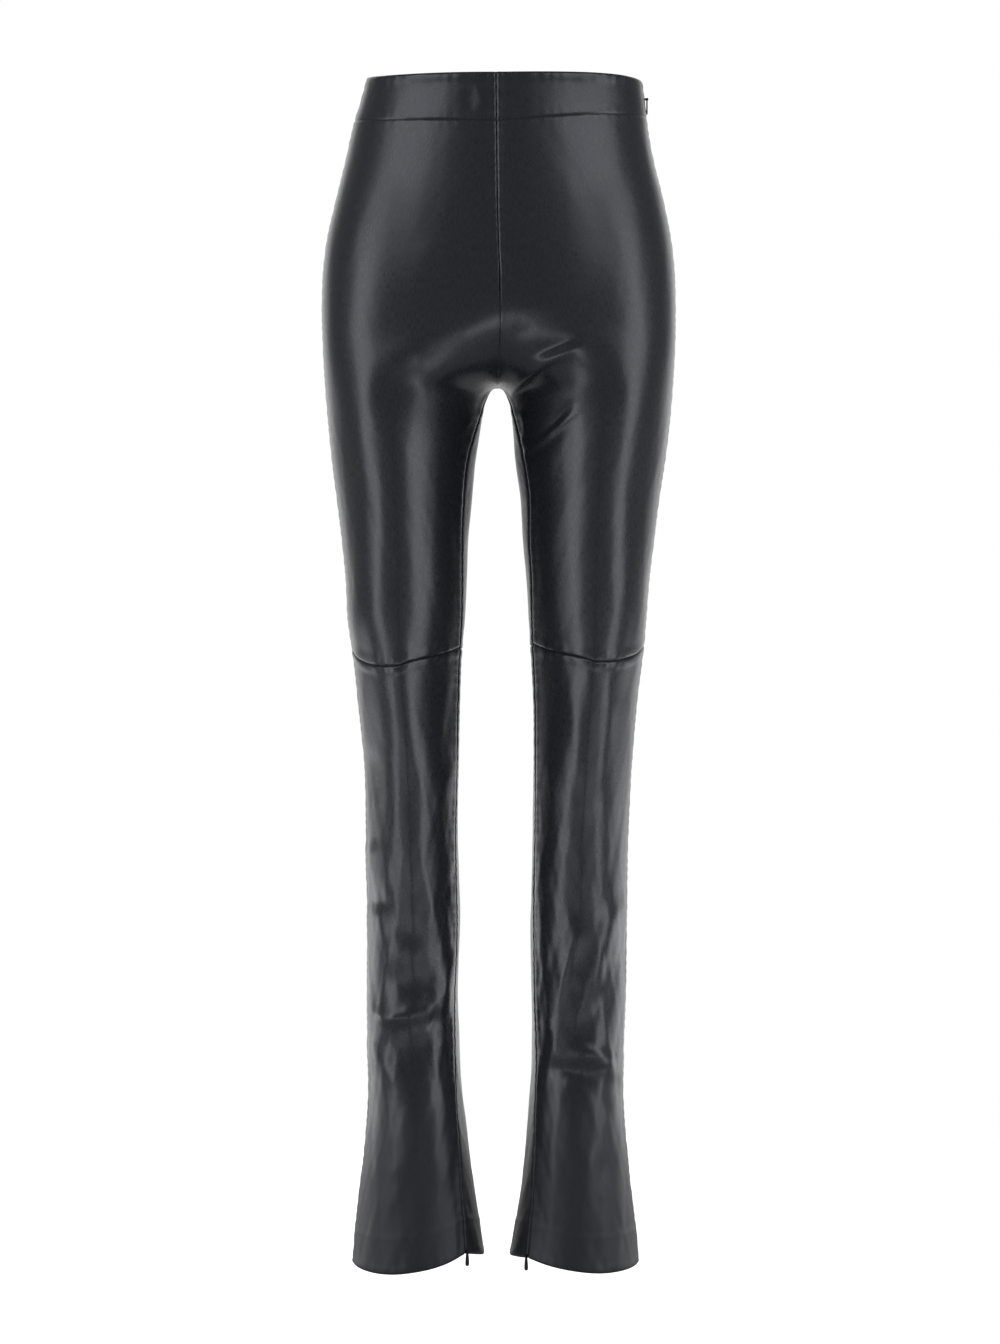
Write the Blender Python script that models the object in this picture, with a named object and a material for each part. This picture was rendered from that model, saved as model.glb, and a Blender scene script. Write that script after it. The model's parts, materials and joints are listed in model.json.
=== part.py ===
"""High-waisted flared leggings in coated stretch cloth, filled out with no wearer in them.

Sizes are in millimetres and MM turns them into Blender's metres, +Z up. The origin is the centre of
the waist opening at its top edge. The front faces -Y and the wearer's left leg is at +X.
Every panel is a wall between an outer and an inner sheet, worked out from the table of sections.
"""

import math

import bmesh
import bpy
import numpy as np
from mathutils import Matrix, Vector

MM = 0.001

# Cloth and seams
WALL = 1.4
BAND_WALL = 2.4
HEM_WALL = 2.4
SEAM_GAP = 0.3

# Levels on the garment
CROTCH_Z = -286.0
CROTCH_X = -1.0
RISE_TURN_Z = {"front": -186.0, "back": -196.0}  # where the rise starts to curve under
RISE_POWER = 3.0
RISE_FOCUS = 5  # how closely the U of the rise keeps to the centre seams
# Where the slanting groin starts and ends: at the hips, and beside the rise
GROIN = {
    "right_front": (-236.0, -216.0, -306.0, -350.0),
    "left_front": (-230.0, -206.0, -306.0, -338.0),
    "right_back": (-236.0, -198.0, -306.0, -340.0),
    "left_back": (-236.0, -198.0, -306.0, -340.0),
}
ARCH_HEIGHT = 18.0  # height of the small arch between the thighs
ARCH_FOCUS = 8  # how closely it keeps to the line of the inseam
CROWDING_START_Z = -140.0  # from here down to the crotch the columns draw together at the rise
EVEN_BELOW_CROTCH = 120.0  # by here they are spread evenly round the leg
BAND_Z = -40.0
KNEE_Z = -533.0
HEM_Z = -1095.0
HEM_TURN_UP = 39.0

# Panel grids
FRONT_COLUMNS = 16
BACK_COLUMNS = 12
HIP_LEVELS = (-72.0, -105.0, -138.0, -165.0)
RISE_PARTS = (0.06, 0.14, 0.24, 0.36, 0.5, 0.68, 0.86)  # rows down the U of the rise
THIGH_DROPS = (1.2, 4.0, 9.0, 18.0, 35.0, 60.0, 90.0, 122.0, 154.0, 186.0, 217.0)  # below it
SHIN_ROWS = 22  # above the turned-up hem, down to this far from it
HEM_LEAD = 16.0
HEM_STEP = 3.0  # the height over which the turned-up hem thickens
HEM_RISES = (20.0, 7.0, 0.0)
SMOOTH_ANGLE = 50.0  # degrees; sharper edges stay sharp
HIP_SQUARENESS = (1.06, 0.93, 0.79)  # at the waist, hips and crotch: 1 is an ellipse, less is fuller
WAIST_END_Z = -100.0  # where the waist's own shape ends
SQUARING_START_Z = -120.0  # where the hips start to square up

LEGS = {"right": -1, "left": 1}
FACES = {"front": -1, "back": 1}

# Cross-sections: x of each leg's outer and inner line, y of the front, the back and the side seam
SECTION_COLUMNS = (
    "z", "right_outer", "right_inner", "left_inner", "left_outer", "front", "back", "side"
)
SECTIONS = (
    (0, -122.5, -11.0, 9.0, 133.0, -84, 92, 0),
    (-20, -128.0, -11.0, 9.0, 136.0, -86.2, 94, 0),
    (-40, -134.0, -11.0, 9.0, 138.0, -89, 97, 0),
    (-75, -142.0, -11.0, 9.0, 144.0, -95, 104, 0),
    (-112, -151.0, -11.0, 9.0, 153.0, -101.5, 114, 0),
    (-150, -159.5, -11.0, 9.0, 160.5, -105.5, 123, 0),
    (-205, -164.0, -11.0, 9.0, 164.5, -107.5, 129, 0),
    (-224, -163.9, -11.0, 9.0, 164.5, -106, 127, 0),
    (-243, -163.3, -11.0, 9.0, 164.3, -103, 124, 0),
    (-265, -162.3, -11.0, 9.0, 163.3, -98, 117, 1),
    (-286, -161.0, -11.0, 9.0, 162.0, -93, 108, 2),
    (-316, -158.6, -15.3, 12.6, 159.5, -89.5, 96, 2),
    (-353, -155.0, -21.0, 15.5, 155.0, -86.5, 88, 1),
    (-391, -150.0, -24.6, 20.5, 149.3, -83.5, 83, 0),
    (-428, -145.5, -28.0, 22.5, 144.6, -80.5, 78, -2),
    (-465, -141.8, -29.3, 26.0, 140.0, -77.5, 73, -3),
    (-502, -140.0, -31.2, 28.0, 137.2, -74.8, 67, -3),
    (-533, -135.5, -34.0, 30.0, 134.3, -72.5, 62, -2),
    (-577, -130.7, -35.8, 32.1, 128.8, -69, 63, 1),
    (-632, -125.1, -36.7, 32.5, 124.2, -64, 68, 3),
    (-707, -123.2, -37.7, 31.5, 120.6, -58, 73, 6),
    (-781, -122.3, -36.0, 30.2, 119.5, -53.5, 73, 8),
    (-856, -122.5, -37.7, 30.6, 118.3, -51.5, 69, 8),
    (-911, -121.4, -35.8, 31.0, 116.0, -53, 65, 6),
    (-949, -121.4, -33.0, 28.4, 115.8, -57, 66, 5),
    (-986, -124.2, -28.4, 25.6, 118.6, -62, 69, 4),
    (-1023, -127.9, -23.7, 21.9, 122.3, -67, 73, 4),
    (-1060, -132.5, -18.1, 16.3, 126.9, -71, 77, 4),
    (-1099, -135.6, -12.5, 9.5, 130.2, -75, 80, 4),
)

# x of the centre seams down the rise
CENTRE_COLUMNS = ("z", "front", "back")
CENTRES = (
    (0, -2.3, 4.0),
    (-120, -1.0, 2.0),
    (-250, 1.2, 0.0),
    (CROTCH_Z, CROTCH_X, CROTCH_X),
)

# Angle of the inseam round the leg, from the side seam through the front, in degrees
INSEAM_COLUMNS = ("z", "degrees")
INSEAMS = (
    (CROTCH_Z, 180),
    (-330, 163),
    (-450, 160),
    (-533, 166),
    (-720, 162),
    (-880, 156),
    (-930, 151),
    (-1000, 144),
    (-1099, 136),
)

# The front of each leg: how far outside the middle its foremost line runs, and how peaked the
# section is on either side of it (1 is an ellipse)
CREST_COLUMNS = ("z", "outward", "outer_power", "inner_power")
CRESTS = (
    (CROTCH_Z, 12.0, 1.0, 1.5),
    (-391, 6.5, 1.15, 1.42),
    (-484, 6.0, 1.05, 1.36),
    (-577, 4.5, 1.25, 1.5),
    (-651, 2.5, 1.25, 1.25),
    (-760, 1.0, 1.1, 1.1),
    (-860, 0.0, 1.0, 1.0),
    (-1099, 0.0, 1.0, 1.0),
)

# Seam lines: height above (+) or below (-) the nominal level, at places across the panel from the
# side seam (0) to its inner edge (1)
LINE_COLUMNS = ("across", "right_front", "left_front", "right_back", "left_back")
WAIST_EDGE = (
    (0.0, 1.5, -1.5, 1.5, -1.5),
    (0.4, -0.5, 0.5, 2.0, 1.0),
    (1.0, -1.5, -1.5, 4.0, 4.0),
)
BAND_LINE = (
    (0.0, 1.5, 5.0, 1.5, 5.0),
    (0.5, -3.0, 2.5, -1.0, 1.5),
    (1.0, -6.5, -6.5, -3.5, -3.5),
)
KNEE_LINE = (
    (0.0, 4.0, 8.0, 4.0, 8.0),
    (0.2, -8.0, -2.5, 1.5, 4.0),
    (0.45, -12.5, -8.5, -1.5, 1.0),
    (0.75, -4.5, -1.5, 1.0, 3.0),
    (1.0, 5.0, 8.5, 5.0, 8.5),
)
HEM_LINE = (
    (0.0, -4.0, -4.0, -4.0, -4.0),
    (0.55, -8.0, -7.0, -3.0, -3.0),
    (0.85, 1.0, 0.0, 4.0, 3.0),
    (1.0, 9.0, 5.0, 9.0, 5.0),
)
LINE_REACH = 60.0  # a seam line's shape dies away this far into the panel

# The largest folds. Height is out of the cloth, width is to the shoulder, and the line of each fold
# is its (x, z) seen from the front or the back.
FOLD_COLUMNS = ("leg", "face", "height", "width", "line")
FOLDS = (
    ("right", "front", 1.2, 18, ((-88, -270), (-48, -252), (-12, -238))),
    ("right", "front", 0.8, 10, ((-99, -555), (-92, -609), (-94, -664), (-85, -718), (-92, -771))),
    ("right", "front", 0.8, 10, ((-72, -555), (-79, -618), (-73, -672), (-75, -728), (-68, -757))),
    ("right", "front", -1.2, 12, ((-114, -741), (-106, -764), (-88, -790), (-60, -800))),
    ("right", "front", -2.2, 20, ((-112, -838), (-88, -836), (-58, -824))),
    ("right", "front", 1.8, 11, ((-120, -864), (-93, -868), (-60, -858), (-52, -840))),
    ("right", "front", 1.5, 9, ((-40, -798), (-49, -840), (-59, -882))),
    ("right", "front", -1.5, 10, ((-53, -845), (-62, -885), (-74, -912))),
    ("right", "front", 1.2, 10, ((-117, -889), (-103, -916), (-92, -935))),
    ("right", "front", -1.2, 12, ((-120, -930), (-112, -985), (-104, -1020))),
    ("right", "front", 1.0, 11, ((-86, -930), (-76, -975), (-88, -1020))),
    ("left", "front", 1.2, 16, ((12, -248), (50, -243), (86, -252))),
    ("left", "front", -0.5, 9, ((22, -264), (48, -258), (72, -252))),
    ("left", "front", 0.8, 7, ((12, -290), (26, -275), (40, -264), (58, -262))),
    ("left", "front", -1.2, 9, ((24, -356), (44, -338), (62, -310))),
    ("left", "front", 0.8, 10, ((64, -541), (71, -609), (75, -671))),
    ("left", "front", 0.8, 10, ((102, -555), (98, -609), (90, -676))),
    ("left", "front", 2.2, 11, ((118, -768), (101, -784), (90, -820), (76, -856), (62, -884))),
    ("left", "front", -2.2, 13, ((116, -800), (106, -822), (95, -852), (82, -884))),
    ("left", "front", 0.9, 8, ((62, -776), (71, -793), (66, -813), (57, -842), (54, -878))),
    ("left", "front", 1.5, 10, ((62, -900), (92, -907), (101, -918), (98, -930))),
    ("left", "front", -1.8, 11, ((42, -920), (68, -922), (92, -934))),
    ("left", "front", 1.0, 11, ((74, -940), (70, -985), (90, -1024))),
    ("left", "front", -1.0, 11, ((104, -950), (94, -990), (108, -1030))),
    ("right", "back", -1.5, 10, ((-122, -505), (-84, -520), (-48, -508))),
    ("right", "back", 1.5, 11, ((-120, -548), (-84, -560), (-50, -545))),
    ("right", "back", -1.8, 14, ((-118, -300), (-76, -318), (-34, -306))),
    ("right", "back", -2.0, 14, ((-112, -850), (-80, -868), (-52, -856))),
    ("right", "back", 1.8, 13, ((-112, -888), (-84, -900), (-50, -884))),
    ("left", "back", -1.5, 10, ((120, -512), (82, -522), (44, -510))),
    ("left", "back", 1.5, 11, ((118, -552), (82, -563), (46, -548))),
    ("left", "back", -1.8, 14, ((118, -304), (76, -316), (34, -304))),
    ("left", "back", -2.0, 14, ((106, -842), (76, -862), (46, -870))),
    ("left", "back", 1.8, 13, ((108, -876), (78, -896), (46, -900))),
)
FOLD_EDGE = 0.07  # share of the panel's width over which a fold dies away at a seam
FOLD_STEPS = 6
FOLD_TAPER = 0.3  # share of its length over which a fold dies away at each end
FOLD_END = 0.35  # and what is left of its height there

# Zips: (leg, seam, z of the slider, z of the other end of the tape)
ZIP_COLUMNS = ("leg", "seam", "slider_z", "tape_end_z")
ZIPS = {
    "hip_zip": ("left", "side", -18.0, -190.0),
    "right_ankle_zip": ("right", "inseam", -1083.6, -915.0),
    "left_ankle_zip": ("left", "inseam", -1087.6, -915.0),
}
TAPE_HALF_WIDTH = 11.0
TAPE_THICKNESS = 0.8
TAPE_STEP = 3.0
TAPE_CLEARANCE = 0.6  # behind the cloth, whose rows it follows
NOTCH_HALF_WIDTH = 1.5  # the seam parts this far for the slider's fork
NOTCH_HALF_HEIGHT = 4.5
NOTCH_TAPER = 4.0
SLIDER_BODY = (6.4, 2.4, 7.0)
SLIDER_CLEARANCE = 1.2  # to the cloth and tape, which slope past the upright slider
FORK_HALF_WIDTH = 1.2
FORK_THICKNESS = 0.5
FORK_HALF_HEIGHT = 0.9
PIVOT_OUT = 2.3  # the pull's pivot stands this far out of the cloth
PIN_RADIUS = 0.45
EYE_RADIUS = 1.4
EYE_HOLE_RADIUS = 0.8
EYE_WIDTH = 0.8
PULL_LENGTH = 15.5
PULL_WIDTH = 4.4
PULL_THICKNESS = 1.3
PULL_SHOULDER = 2.2  # distance from the pivot to where the pull has widened
SHOULDER_HALF_WIDTH = 0.96
NECK_START = 0.3  # the neck starts inside the eye, this far past its hole
NECK_LENGTH = 0.5
TONGUE_ROWS = 5
TIP_STEPS = 6
PIN_SEGMENTS = 10
EYE_SEGMENTS = 16
HOLE_SEGMENTS = 12


def smoothstep(value):
    value = np.clip(value, 0.0, 1.0)
    return value * value * (3.0 - 2.0 * value)


def through(rows, columns, name, at):
    """A smooth curve through one column of a table, read at the places given."""
    places = np.array([row[0] for row in rows], float)
    values = np.array([row[columns.index(name)] for row in rows], float)
    if places[0] > places[-1]:
        places, values = places[::-1], values[::-1]
    at = np.clip(np.asarray(at, float), places[0], places[-1])
    slopes = np.gradient(values, places)
    low = np.clip(np.searchsorted(places, at) - 1, 0, len(places) - 2)
    span = places[low + 1] - places[low]
    part = (at - places[low]) / span
    rise = values[low + 1] - values[low]
    start = slopes[low] * span
    end = slopes[low + 1] * span
    return values[low] + part * (
        start + part * (3 * rise - 2 * start - end + part * (start + end - 2 * rise))
    )


def section(name, z):
    return through(SECTIONS, SECTION_COLUMNS, name, z)


def arch_fill(leg, angle, z):
    """How far the inner thigh reaches in to meet the other leg, at the small arch under the crotch."""
    below = np.clip((CROTCH_Z - z) / ARCH_HEIGHT, 0.0, 1.0)
    closing = 1.0 - np.sqrt(1.0 - (1.0 - below) ** 2)
    facing_in = np.clip(-np.cos(angle), 0.0, 1.0) ** ARCH_FOCUS
    return (CROTCH_X - section(leg + "_inner", z)) * closing * facing_in


def rise_curve(down):
    return 1.0 - (1.0 - down**RISE_POWER) ** (1.0 / RISE_POWER)


def leg_share(leg, face, hip_share, z):
    """0 on the hips and 1 on the legs: the U of the rise at the centre, a slanting groin beside it."""
    top = RISE_TURN_Z[face]
    down = np.clip((top - z) / (top - CROTCH_Z), 0.0, 1.0)
    hip_start, rise_start, hip_end, rise_end = GROIN[leg + "_" + face]
    start = hip_start + (rise_start - hip_start) * smoothstep((hip_share - 0.5) / 0.45)
    end = hip_end + (rise_end - hip_end) * smoothstep((hip_share - 0.6) / 0.3)
    groin = smoothstep((start - z) / (start - end))
    near_centre = np.clip((hip_share - 0.6) / 0.4, 0.0, 1.0)
    return groin + near_centre**RISE_FOCUS * (rise_curve(down) - groin)


def hip_power(z):
    """How full the hip sections are."""
    at_waist, at_hips, at_crotch = HIP_SQUARENESS
    down = (SQUARING_START_Z - z) / (SQUARING_START_Z - CROTCH_Z)
    upper = at_waist + (at_hips - at_waist) * smoothstep(z / WAIST_END_Z)
    return upper + (at_crotch - at_hips) * smoothstep(down)


def base_point(leg, face, across, z):
    """A point of the smooth garment, across a panel from its side seam (0) to its inner edge (1)."""
    across, z = np.broadcast_arrays(np.asarray(across, float), np.asarray(z, float))
    crowding = 1.0 + smoothstep((CROWDING_START_Z - z) / (CROWDING_START_Z - CROTCH_Z))
    hip_share = 1.0 - (1.0 - across) ** crowding
    hip_angle = hip_share * math.pi / 2
    width_share = np.cos(hip_angle) ** hip_power(z)
    depth_share = np.sin(hip_angle) ** hip_power(z)
    outer = section(leg + "_outer", z)
    side = section("side", z)
    depth = section(face, z)
    centre = through(CENTRES, CENTRE_COLUMNS, face, z)
    hip_x = centre + (outer - centre) * width_share
    hip_y = side + (depth - side) * depth_share

    inner = section(leg + "_inner", z)
    crest = (outer + inner) / 2 + LEGS[leg] * through(CRESTS, CREST_COLUMNS, "outward", z)
    to_inseam = np.radians(through(INSEAMS, INSEAM_COLUMNS, "degrees", z))
    if face == "back":
        to_inseam = 2 * math.pi - to_inseam
    at_crotch = np.arccos(np.clip(2 * width_share - 1, -1, 1)) * to_inseam / math.pi
    down_leg = smoothstep((CROTCH_Z - z) / EVEN_BELOW_CROTCH)
    angle = at_crotch + (across * to_inseam - at_crotch) * down_leg
    other = section("front" if face == "back" else "back", z)
    reach = np.where(np.sin(angle) >= 0, depth, other) - side
    outside = np.cos(angle) >= 0
    outer_power = through(CRESTS, CREST_COLUMNS, "outer_power", z)
    inner_power = through(CRESTS, CREST_COLUMNS, "inner_power", z)
    power = np.where(outside, outer_power, inner_power)
    from_crest = np.where(outside, outer, inner) - crest
    leg_x = crest + from_crest * np.abs(np.cos(angle)) ** power + arch_fill(leg, angle, z)
    leg_y = side + reach * np.abs(np.sin(angle)) ** power

    to_leg = leg_share(leg, face, hip_share, z)
    x = hip_x + (leg_x - hip_x) * to_leg
    y = hip_y + (leg_y - hip_y) * to_leg
    return np.stack([x, y, z], axis=-1)


def fold_line(points):
    """A fold's line with more points, on a smooth curve through those given."""
    points = np.array(points, float)
    steps = np.linspace(0, len(points) - 1, (len(points) - 1) * FOLD_STEPS + 1)
    rows = [(i, x, z) for i, (x, z) in enumerate(points)]
    return np.stack([through(rows, ("i", "x", "z"), name, steps) for name in ("x", "z")], axis=-1)


def fold_height(leg, face, across, points):
    """How far the folds lift each point out of the cloth."""
    total = np.zeros(points.shape[:-1])
    seen = points[..., [0, 2]]
    for fold_leg, fold_face, height, width, line in FOLDS:
        if (fold_leg, fold_face) != (leg, face):
            continue
        path = fold_line(line)
        nearest = np.full(total.shape, np.inf)
        along = np.zeros(total.shape)
        for i, (start, end) in enumerate(zip(path, path[1:])):
            run = end - start
            part = np.clip(((seen - start) @ run) / (run @ run), 0.0, 1.0)
            away = np.linalg.norm(seen - start - part[..., None] * run, axis=-1)
            closer = away < nearest
            nearest = np.where(closer, away, nearest)
            along = np.where(closer, (i + part) / (len(path) - 1), along)
        ends = smoothstep(np.minimum(along, 1.0 - along) / FOLD_TAPER)
        total += height * (FOLD_END + (1.0 - FOLD_END) * ends) * np.exp(-((nearest / width) ** 2))
    return total * smoothstep(np.minimum(across, 1.0 - across) / FOLD_EDGE)


def line_shift(table, leg, face, across):
    return through(table, LINE_COLUMNS, leg + "_" + face, across)


def grid_z(levels, top, bottom, leg, face, across):
    """z of every grid point: level rows, bent at the top and bottom to the seam lines there."""
    levels = np.array(levels, float)[:, None]
    reach = min(LINE_REACH, float(levels[0, 0] - levels[-1, 0]))
    near_top = np.clip(1.0 - (levels[0] - levels) / reach, 0.0, 1.0)
    near_bottom = np.clip(1.0 - (levels - levels[-1]) / reach, 0.0, 1.0)
    return (
        levels
        + near_top * line_shift(top, leg, face, across)[None, :]
        + near_bottom * line_shift(bottom, leg, face, across)[None, :]
    )


def sheet(leg, face, columns, levels, top, bottom):
    """The outer points of a panel, row by row from its top."""
    across = np.linspace(0.0, 1.0, columns + 1)
    z = grid_z(levels, top, bottom, leg, face, across)
    across = np.broadcast_to(across, z.shape)
    points = base_point(leg, face, across, z)
    out = grid_normals(points, leg, face)
    return points + out * fold_height(leg, face, across, points)[..., None]


def face_normals(points, leg, face):
    crossed = np.cross(
        points[1:, 1:] - points[:-1, :-1],
        points[1:, :-1] - points[:-1, 1:],
    )
    return crossed * (-LEGS[leg] * FACES[face])


def grid_normals(points, leg, face):
    faces = face_normals(points, leg, face)
    total = np.zeros(points.shape)
    for rows in (slice(None, -1), slice(1, None)):
        for columns in (slice(None, -1), slice(1, None)):
            total[rows, columns] += faces
    return total / np.linalg.norm(total, axis=-1, keepdims=True)


def shared_normals(sheets):
    """Normals of all sheets, the same for both panels where two meet in a seam."""
    sums = {}
    for (_, leg, face), points in sheets.items():
        faces = face_normals(points, leg, face)
        for i in range(faces.shape[0]):
            for j in range(faces.shape[1]):
                for corner in ((i, j), (i + 1, j), (i, j + 1), (i + 1, j + 1)):
                    key = tuple(np.round(points[corner], 2))
                    sums[key] = sums.get(key, 0) + faces[i, j]
    result = {}
    for name, points in sheets.items():
        rows = [[sums[tuple(np.round(p, 2))] for p in row] for row in points]
        normals = np.array(rows)
        result[name] = normals / np.linalg.norm(normals, axis=-1, keepdims=True)
    return result


def edge_pull(points, normals, inward, distance):
    """Moves a run of edge points into the panel, square to the seam, by the distance given."""
    along = np.gradient(points, axis=0)
    square = np.cross(normals, along)
    square /= np.linalg.norm(square, axis=-1, keepdims=True)
    square *= np.sign(np.sum(square * inward, axis=-1, keepdims=True))
    return square * np.asarray(distance, float)[..., None]


def seam_parting(leg, seam, z):
    """Half the gap at a seam, wider at a slider."""
    gap = np.full(np.shape(z), SEAM_GAP / 2)
    for zip_leg, zip_seam, slider_z, _ in ZIPS.values():
        if (zip_leg, zip_seam) == (leg, seam):
            away = (np.abs(z - slider_z) - NOTCH_HALF_HEIGHT) / NOTCH_TAPER
            gap = np.maximum(gap, NOTCH_HALF_WIDTH * (1.0 - np.clip(away, 0.0, 1.0)))
    return gap


def trimmed(leg, points, normals):
    """The sheet with its four edges drawn back from the seam lines."""
    shift = np.zeros(points.shape)
    half = SEAM_GAP / 2
    side_gap = seam_parting(leg, "side", points[:, 0, 2])
    inner_gap = seam_parting(leg, "inseam", points[:, -1, 2])
    shift[:, 0] += edge_pull(points[:, 0], normals[:, 0], points[:, 1] - points[:, 0], side_gap)
    shift[:, -1] += edge_pull(points[:, -1], normals[:, -1], points[:, -2] - points[:, -1], inner_gap)
    top_gap = np.full(points.shape[1], half)
    shift[0] += edge_pull(points[0], normals[0], points[1] - points[0], top_gap)
    shift[-1] += edge_pull(points[-1], normals[-1], points[-2] - points[-1], top_gap)
    return points + shift


def clear_scene():
    for old in list(bpy.data.objects):
        bpy.data.objects.remove(old, do_unlink=True)


def material(name, colour, roughness, metallic=0.0):
    made = bpy.data.materials.new(name)
    made.use_nodes = True
    shader = made.node_tree.nodes["Principled BSDF"]
    shader.inputs["Base Color"].default_value = (*colour, 1.0)
    shader.inputs["Roughness"].default_value = roughness
    shader.inputs["Metallic"].default_value = metallic
    return made


def placed(name, mesh, finish, collection):
    obj = bpy.data.objects.new(name, mesh)
    collection.objects.link(obj)
    mesh.materials.clear()
    mesh.materials.append(finish)
    return obj


def face_outward(bm):
    """Turns the faces of one closed body outwards, also where its wall is thin."""
    bmesh.ops.recalc_face_normals(bm, faces=list(bm.faces))
    if bm.calc_volume(signed=True) < 0:
        bmesh.ops.reverse_faces(bm, faces=list(bm.faces))


def wall_mesh(name, outer, inner):
    """A closed wall: a grid primitive, extruded once, its two layers laid on the two sheets."""
    rows, columns = outer.shape[0] - 1, outer.shape[1] - 1
    bm = bmesh.new()
    bmesh.ops.create_grid(bm, x_segments=columns, y_segments=rows, size=1.0)
    grown = bmesh.ops.extrude_face_region(bm, geom=list(bm.faces))
    lifted = {part for part in grown["geom"] if isinstance(part, bmesh.types.BMVert)}
    for vert in bm.verts:
        row = round((1 - vert.co.y) / 2 * rows)
        column = round((vert.co.x + 1) / 2 * columns)
        layer = inner if vert in lifted else outer
        vert.co = Vector(layer[row, column]) * MM
    face_outward(bm)
    mesh = bpy.data.meshes.new(name)
    bm.to_mesh(mesh)
    bm.free()
    mesh.shade_smooth()
    mesh.set_sharp_from_angle(angle=math.radians(SMOOTH_ANGLE))
    return mesh


def rise_levels():
    """Rows of the thigh panels: crowded where the rise curves under and where the thighs part."""
    turn = RISE_TURN_Z["front"]
    depth = turn - CROTCH_Z
    curved = [turn - depth * (1 - (1 - part) ** RISE_POWER) ** (1 / RISE_POWER) for part in RISE_PARTS]
    below = [CROTCH_Z - drop for drop in THIGH_DROPS]
    return [BAND_Z, *HIP_LEVELS, turn, *curved, CROTCH_Z, *below, KNEE_Z]


def shin_levels():
    turn_up = HEM_Z + HEM_TURN_UP
    body = np.linspace(KNEE_Z, turn_up + HEM_LEAD, SHIN_ROWS)
    hem = [HEM_Z + rise for rise in HEM_RISES]
    return [*body, turn_up + HEM_STEP / 2, turn_up - HEM_STEP / 2, *hem]


def band_levels():
    slider = ZIPS["hip_zip"][2]
    half = NOTCH_HALF_HEIGHT
    reach = half + NOTCH_TAPER
    return [0.0, slider + reach, slider + half, slider - half, slider - reach, BAND_Z]


def wall_at(part, z):
    """Thickness of the cloth: double in the waistband and the turned-up hem."""
    if part == "waistband":
        return np.full(z.shape, BAND_WALL)
    doubled = np.clip((HEM_Z + HEM_TURN_UP - z) / HEM_STEP + 0.5, 0.0, 1.0)
    return WALL + (HEM_WALL - WALL) * doubled


def all_sheets():
    """Outer points of the twelve panels, meeting exactly at their seam lines."""
    sheets = {}
    for leg in LEGS:
        for face in FACES:
            columns = FRONT_COLUMNS if face == "front" else BACK_COLUMNS
            parts = (
                ("waistband", band_levels(), WAIST_EDGE, BAND_LINE),
                ("thigh", rise_levels(), BAND_LINE, KNEE_LINE),
                ("shin", shin_levels(), KNEE_LINE, HEM_LINE),
            )
            for part, levels, top, bottom in parts:
                sheets[(part, leg, face)] = sheet(leg, face, columns, levels, top, bottom)
    return sheets


def make_panels(sheets, cloth, collection):
    normals = shared_normals(sheets)
    for (part, leg, face), points in sheets.items():
        out = normals[(part, leg, face)]
        outer = trimmed(leg, points, out)
        inner = outer - out * wall_at(part, points[..., 2])[..., None]
        name = f"{part}_{face}_{leg}"
        placed(name, wall_mesh(name, outer, inner), cloth, collection)


def seam_frame(leg, seam, z):
    """A point on a seam, with the directions out of the cloth and along the seam's width."""
    across = 0.0 if seam == "side" else 1.0
    step = 0.01
    at_seam = base_point(leg, "front", across, z)
    ahead = base_point(leg, "front", abs(across - step), z)
    behind = base_point(leg, "back", abs(across - step), z)
    width = ahead - behind
    width /= np.linalg.norm(width)
    out = np.cross(width, (0.0, 0.0, 1.0))
    out *= np.sign(out[0]) * LEGS[leg] * (1 if seam == "side" else -1)
    return at_seam, out / np.linalg.norm(out), width


def edge_columns(leg, face, part, seam, sheets):
    """A panel's column of points on a seam and the next one in."""
    points = sheets[(part, leg, face)]
    return (points[:, 0], points[:, 1]) if seam == "side" else (points[:, -1], points[:, -2])


def beside_seam(sheets, leg, seam, part, z, away):
    """A point of a panel's sheet beside its seam, this far round towards the front (+) or back."""
    edge, second = edge_columns(leg, "front" if away >= 0 else "back", part, seam, sheets)
    row = np.interp(-z, -edge[:, 2], np.arange(len(edge)))
    low = min(int(row), len(edge) - 2)
    start = edge[low] + (edge[low + 1] - edge[low]) * (row - low)
    end = second[low] + (second[low + 1] - second[low]) * (row - low)
    return start + (end - start) * abs(away) / np.linalg.norm(end - start)


def tape_rows(sheets, leg, seam, upper, lower):
    """(panel, z, depth behind the sheet) of each row of a tape, top to bottom."""
    rows = []
    for part in ("waistband", "thigh", "shin"):
        edge = edge_columns(leg, "front", part, seam, sheets)[0][:, 2]
        if part == "thigh":
            edge = np.sort([*edge, edge[0] - TAPE_STEP])[::-1]
        high, low = min(upper, edge[0]), max(lower, edge[-1])
        if high - low < TAPE_STEP:
            continue
        inside = edge[(edge < high - 0.5) & (edge > low + 0.5)]
        for z in (high, *inside, low):
            under_band = part == "thigh" and z > edge[0] - 1.5 * TAPE_STEP
            wall = BAND_WALL if under_band else float(wall_at(part, np.array(z)))
            rows.append((part, z, wall + TAPE_CLEARANCE))
    return rows[:1] + [row for last, row in zip(rows, rows[1:]) if last[1] - row[1] > 0.5]


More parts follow.
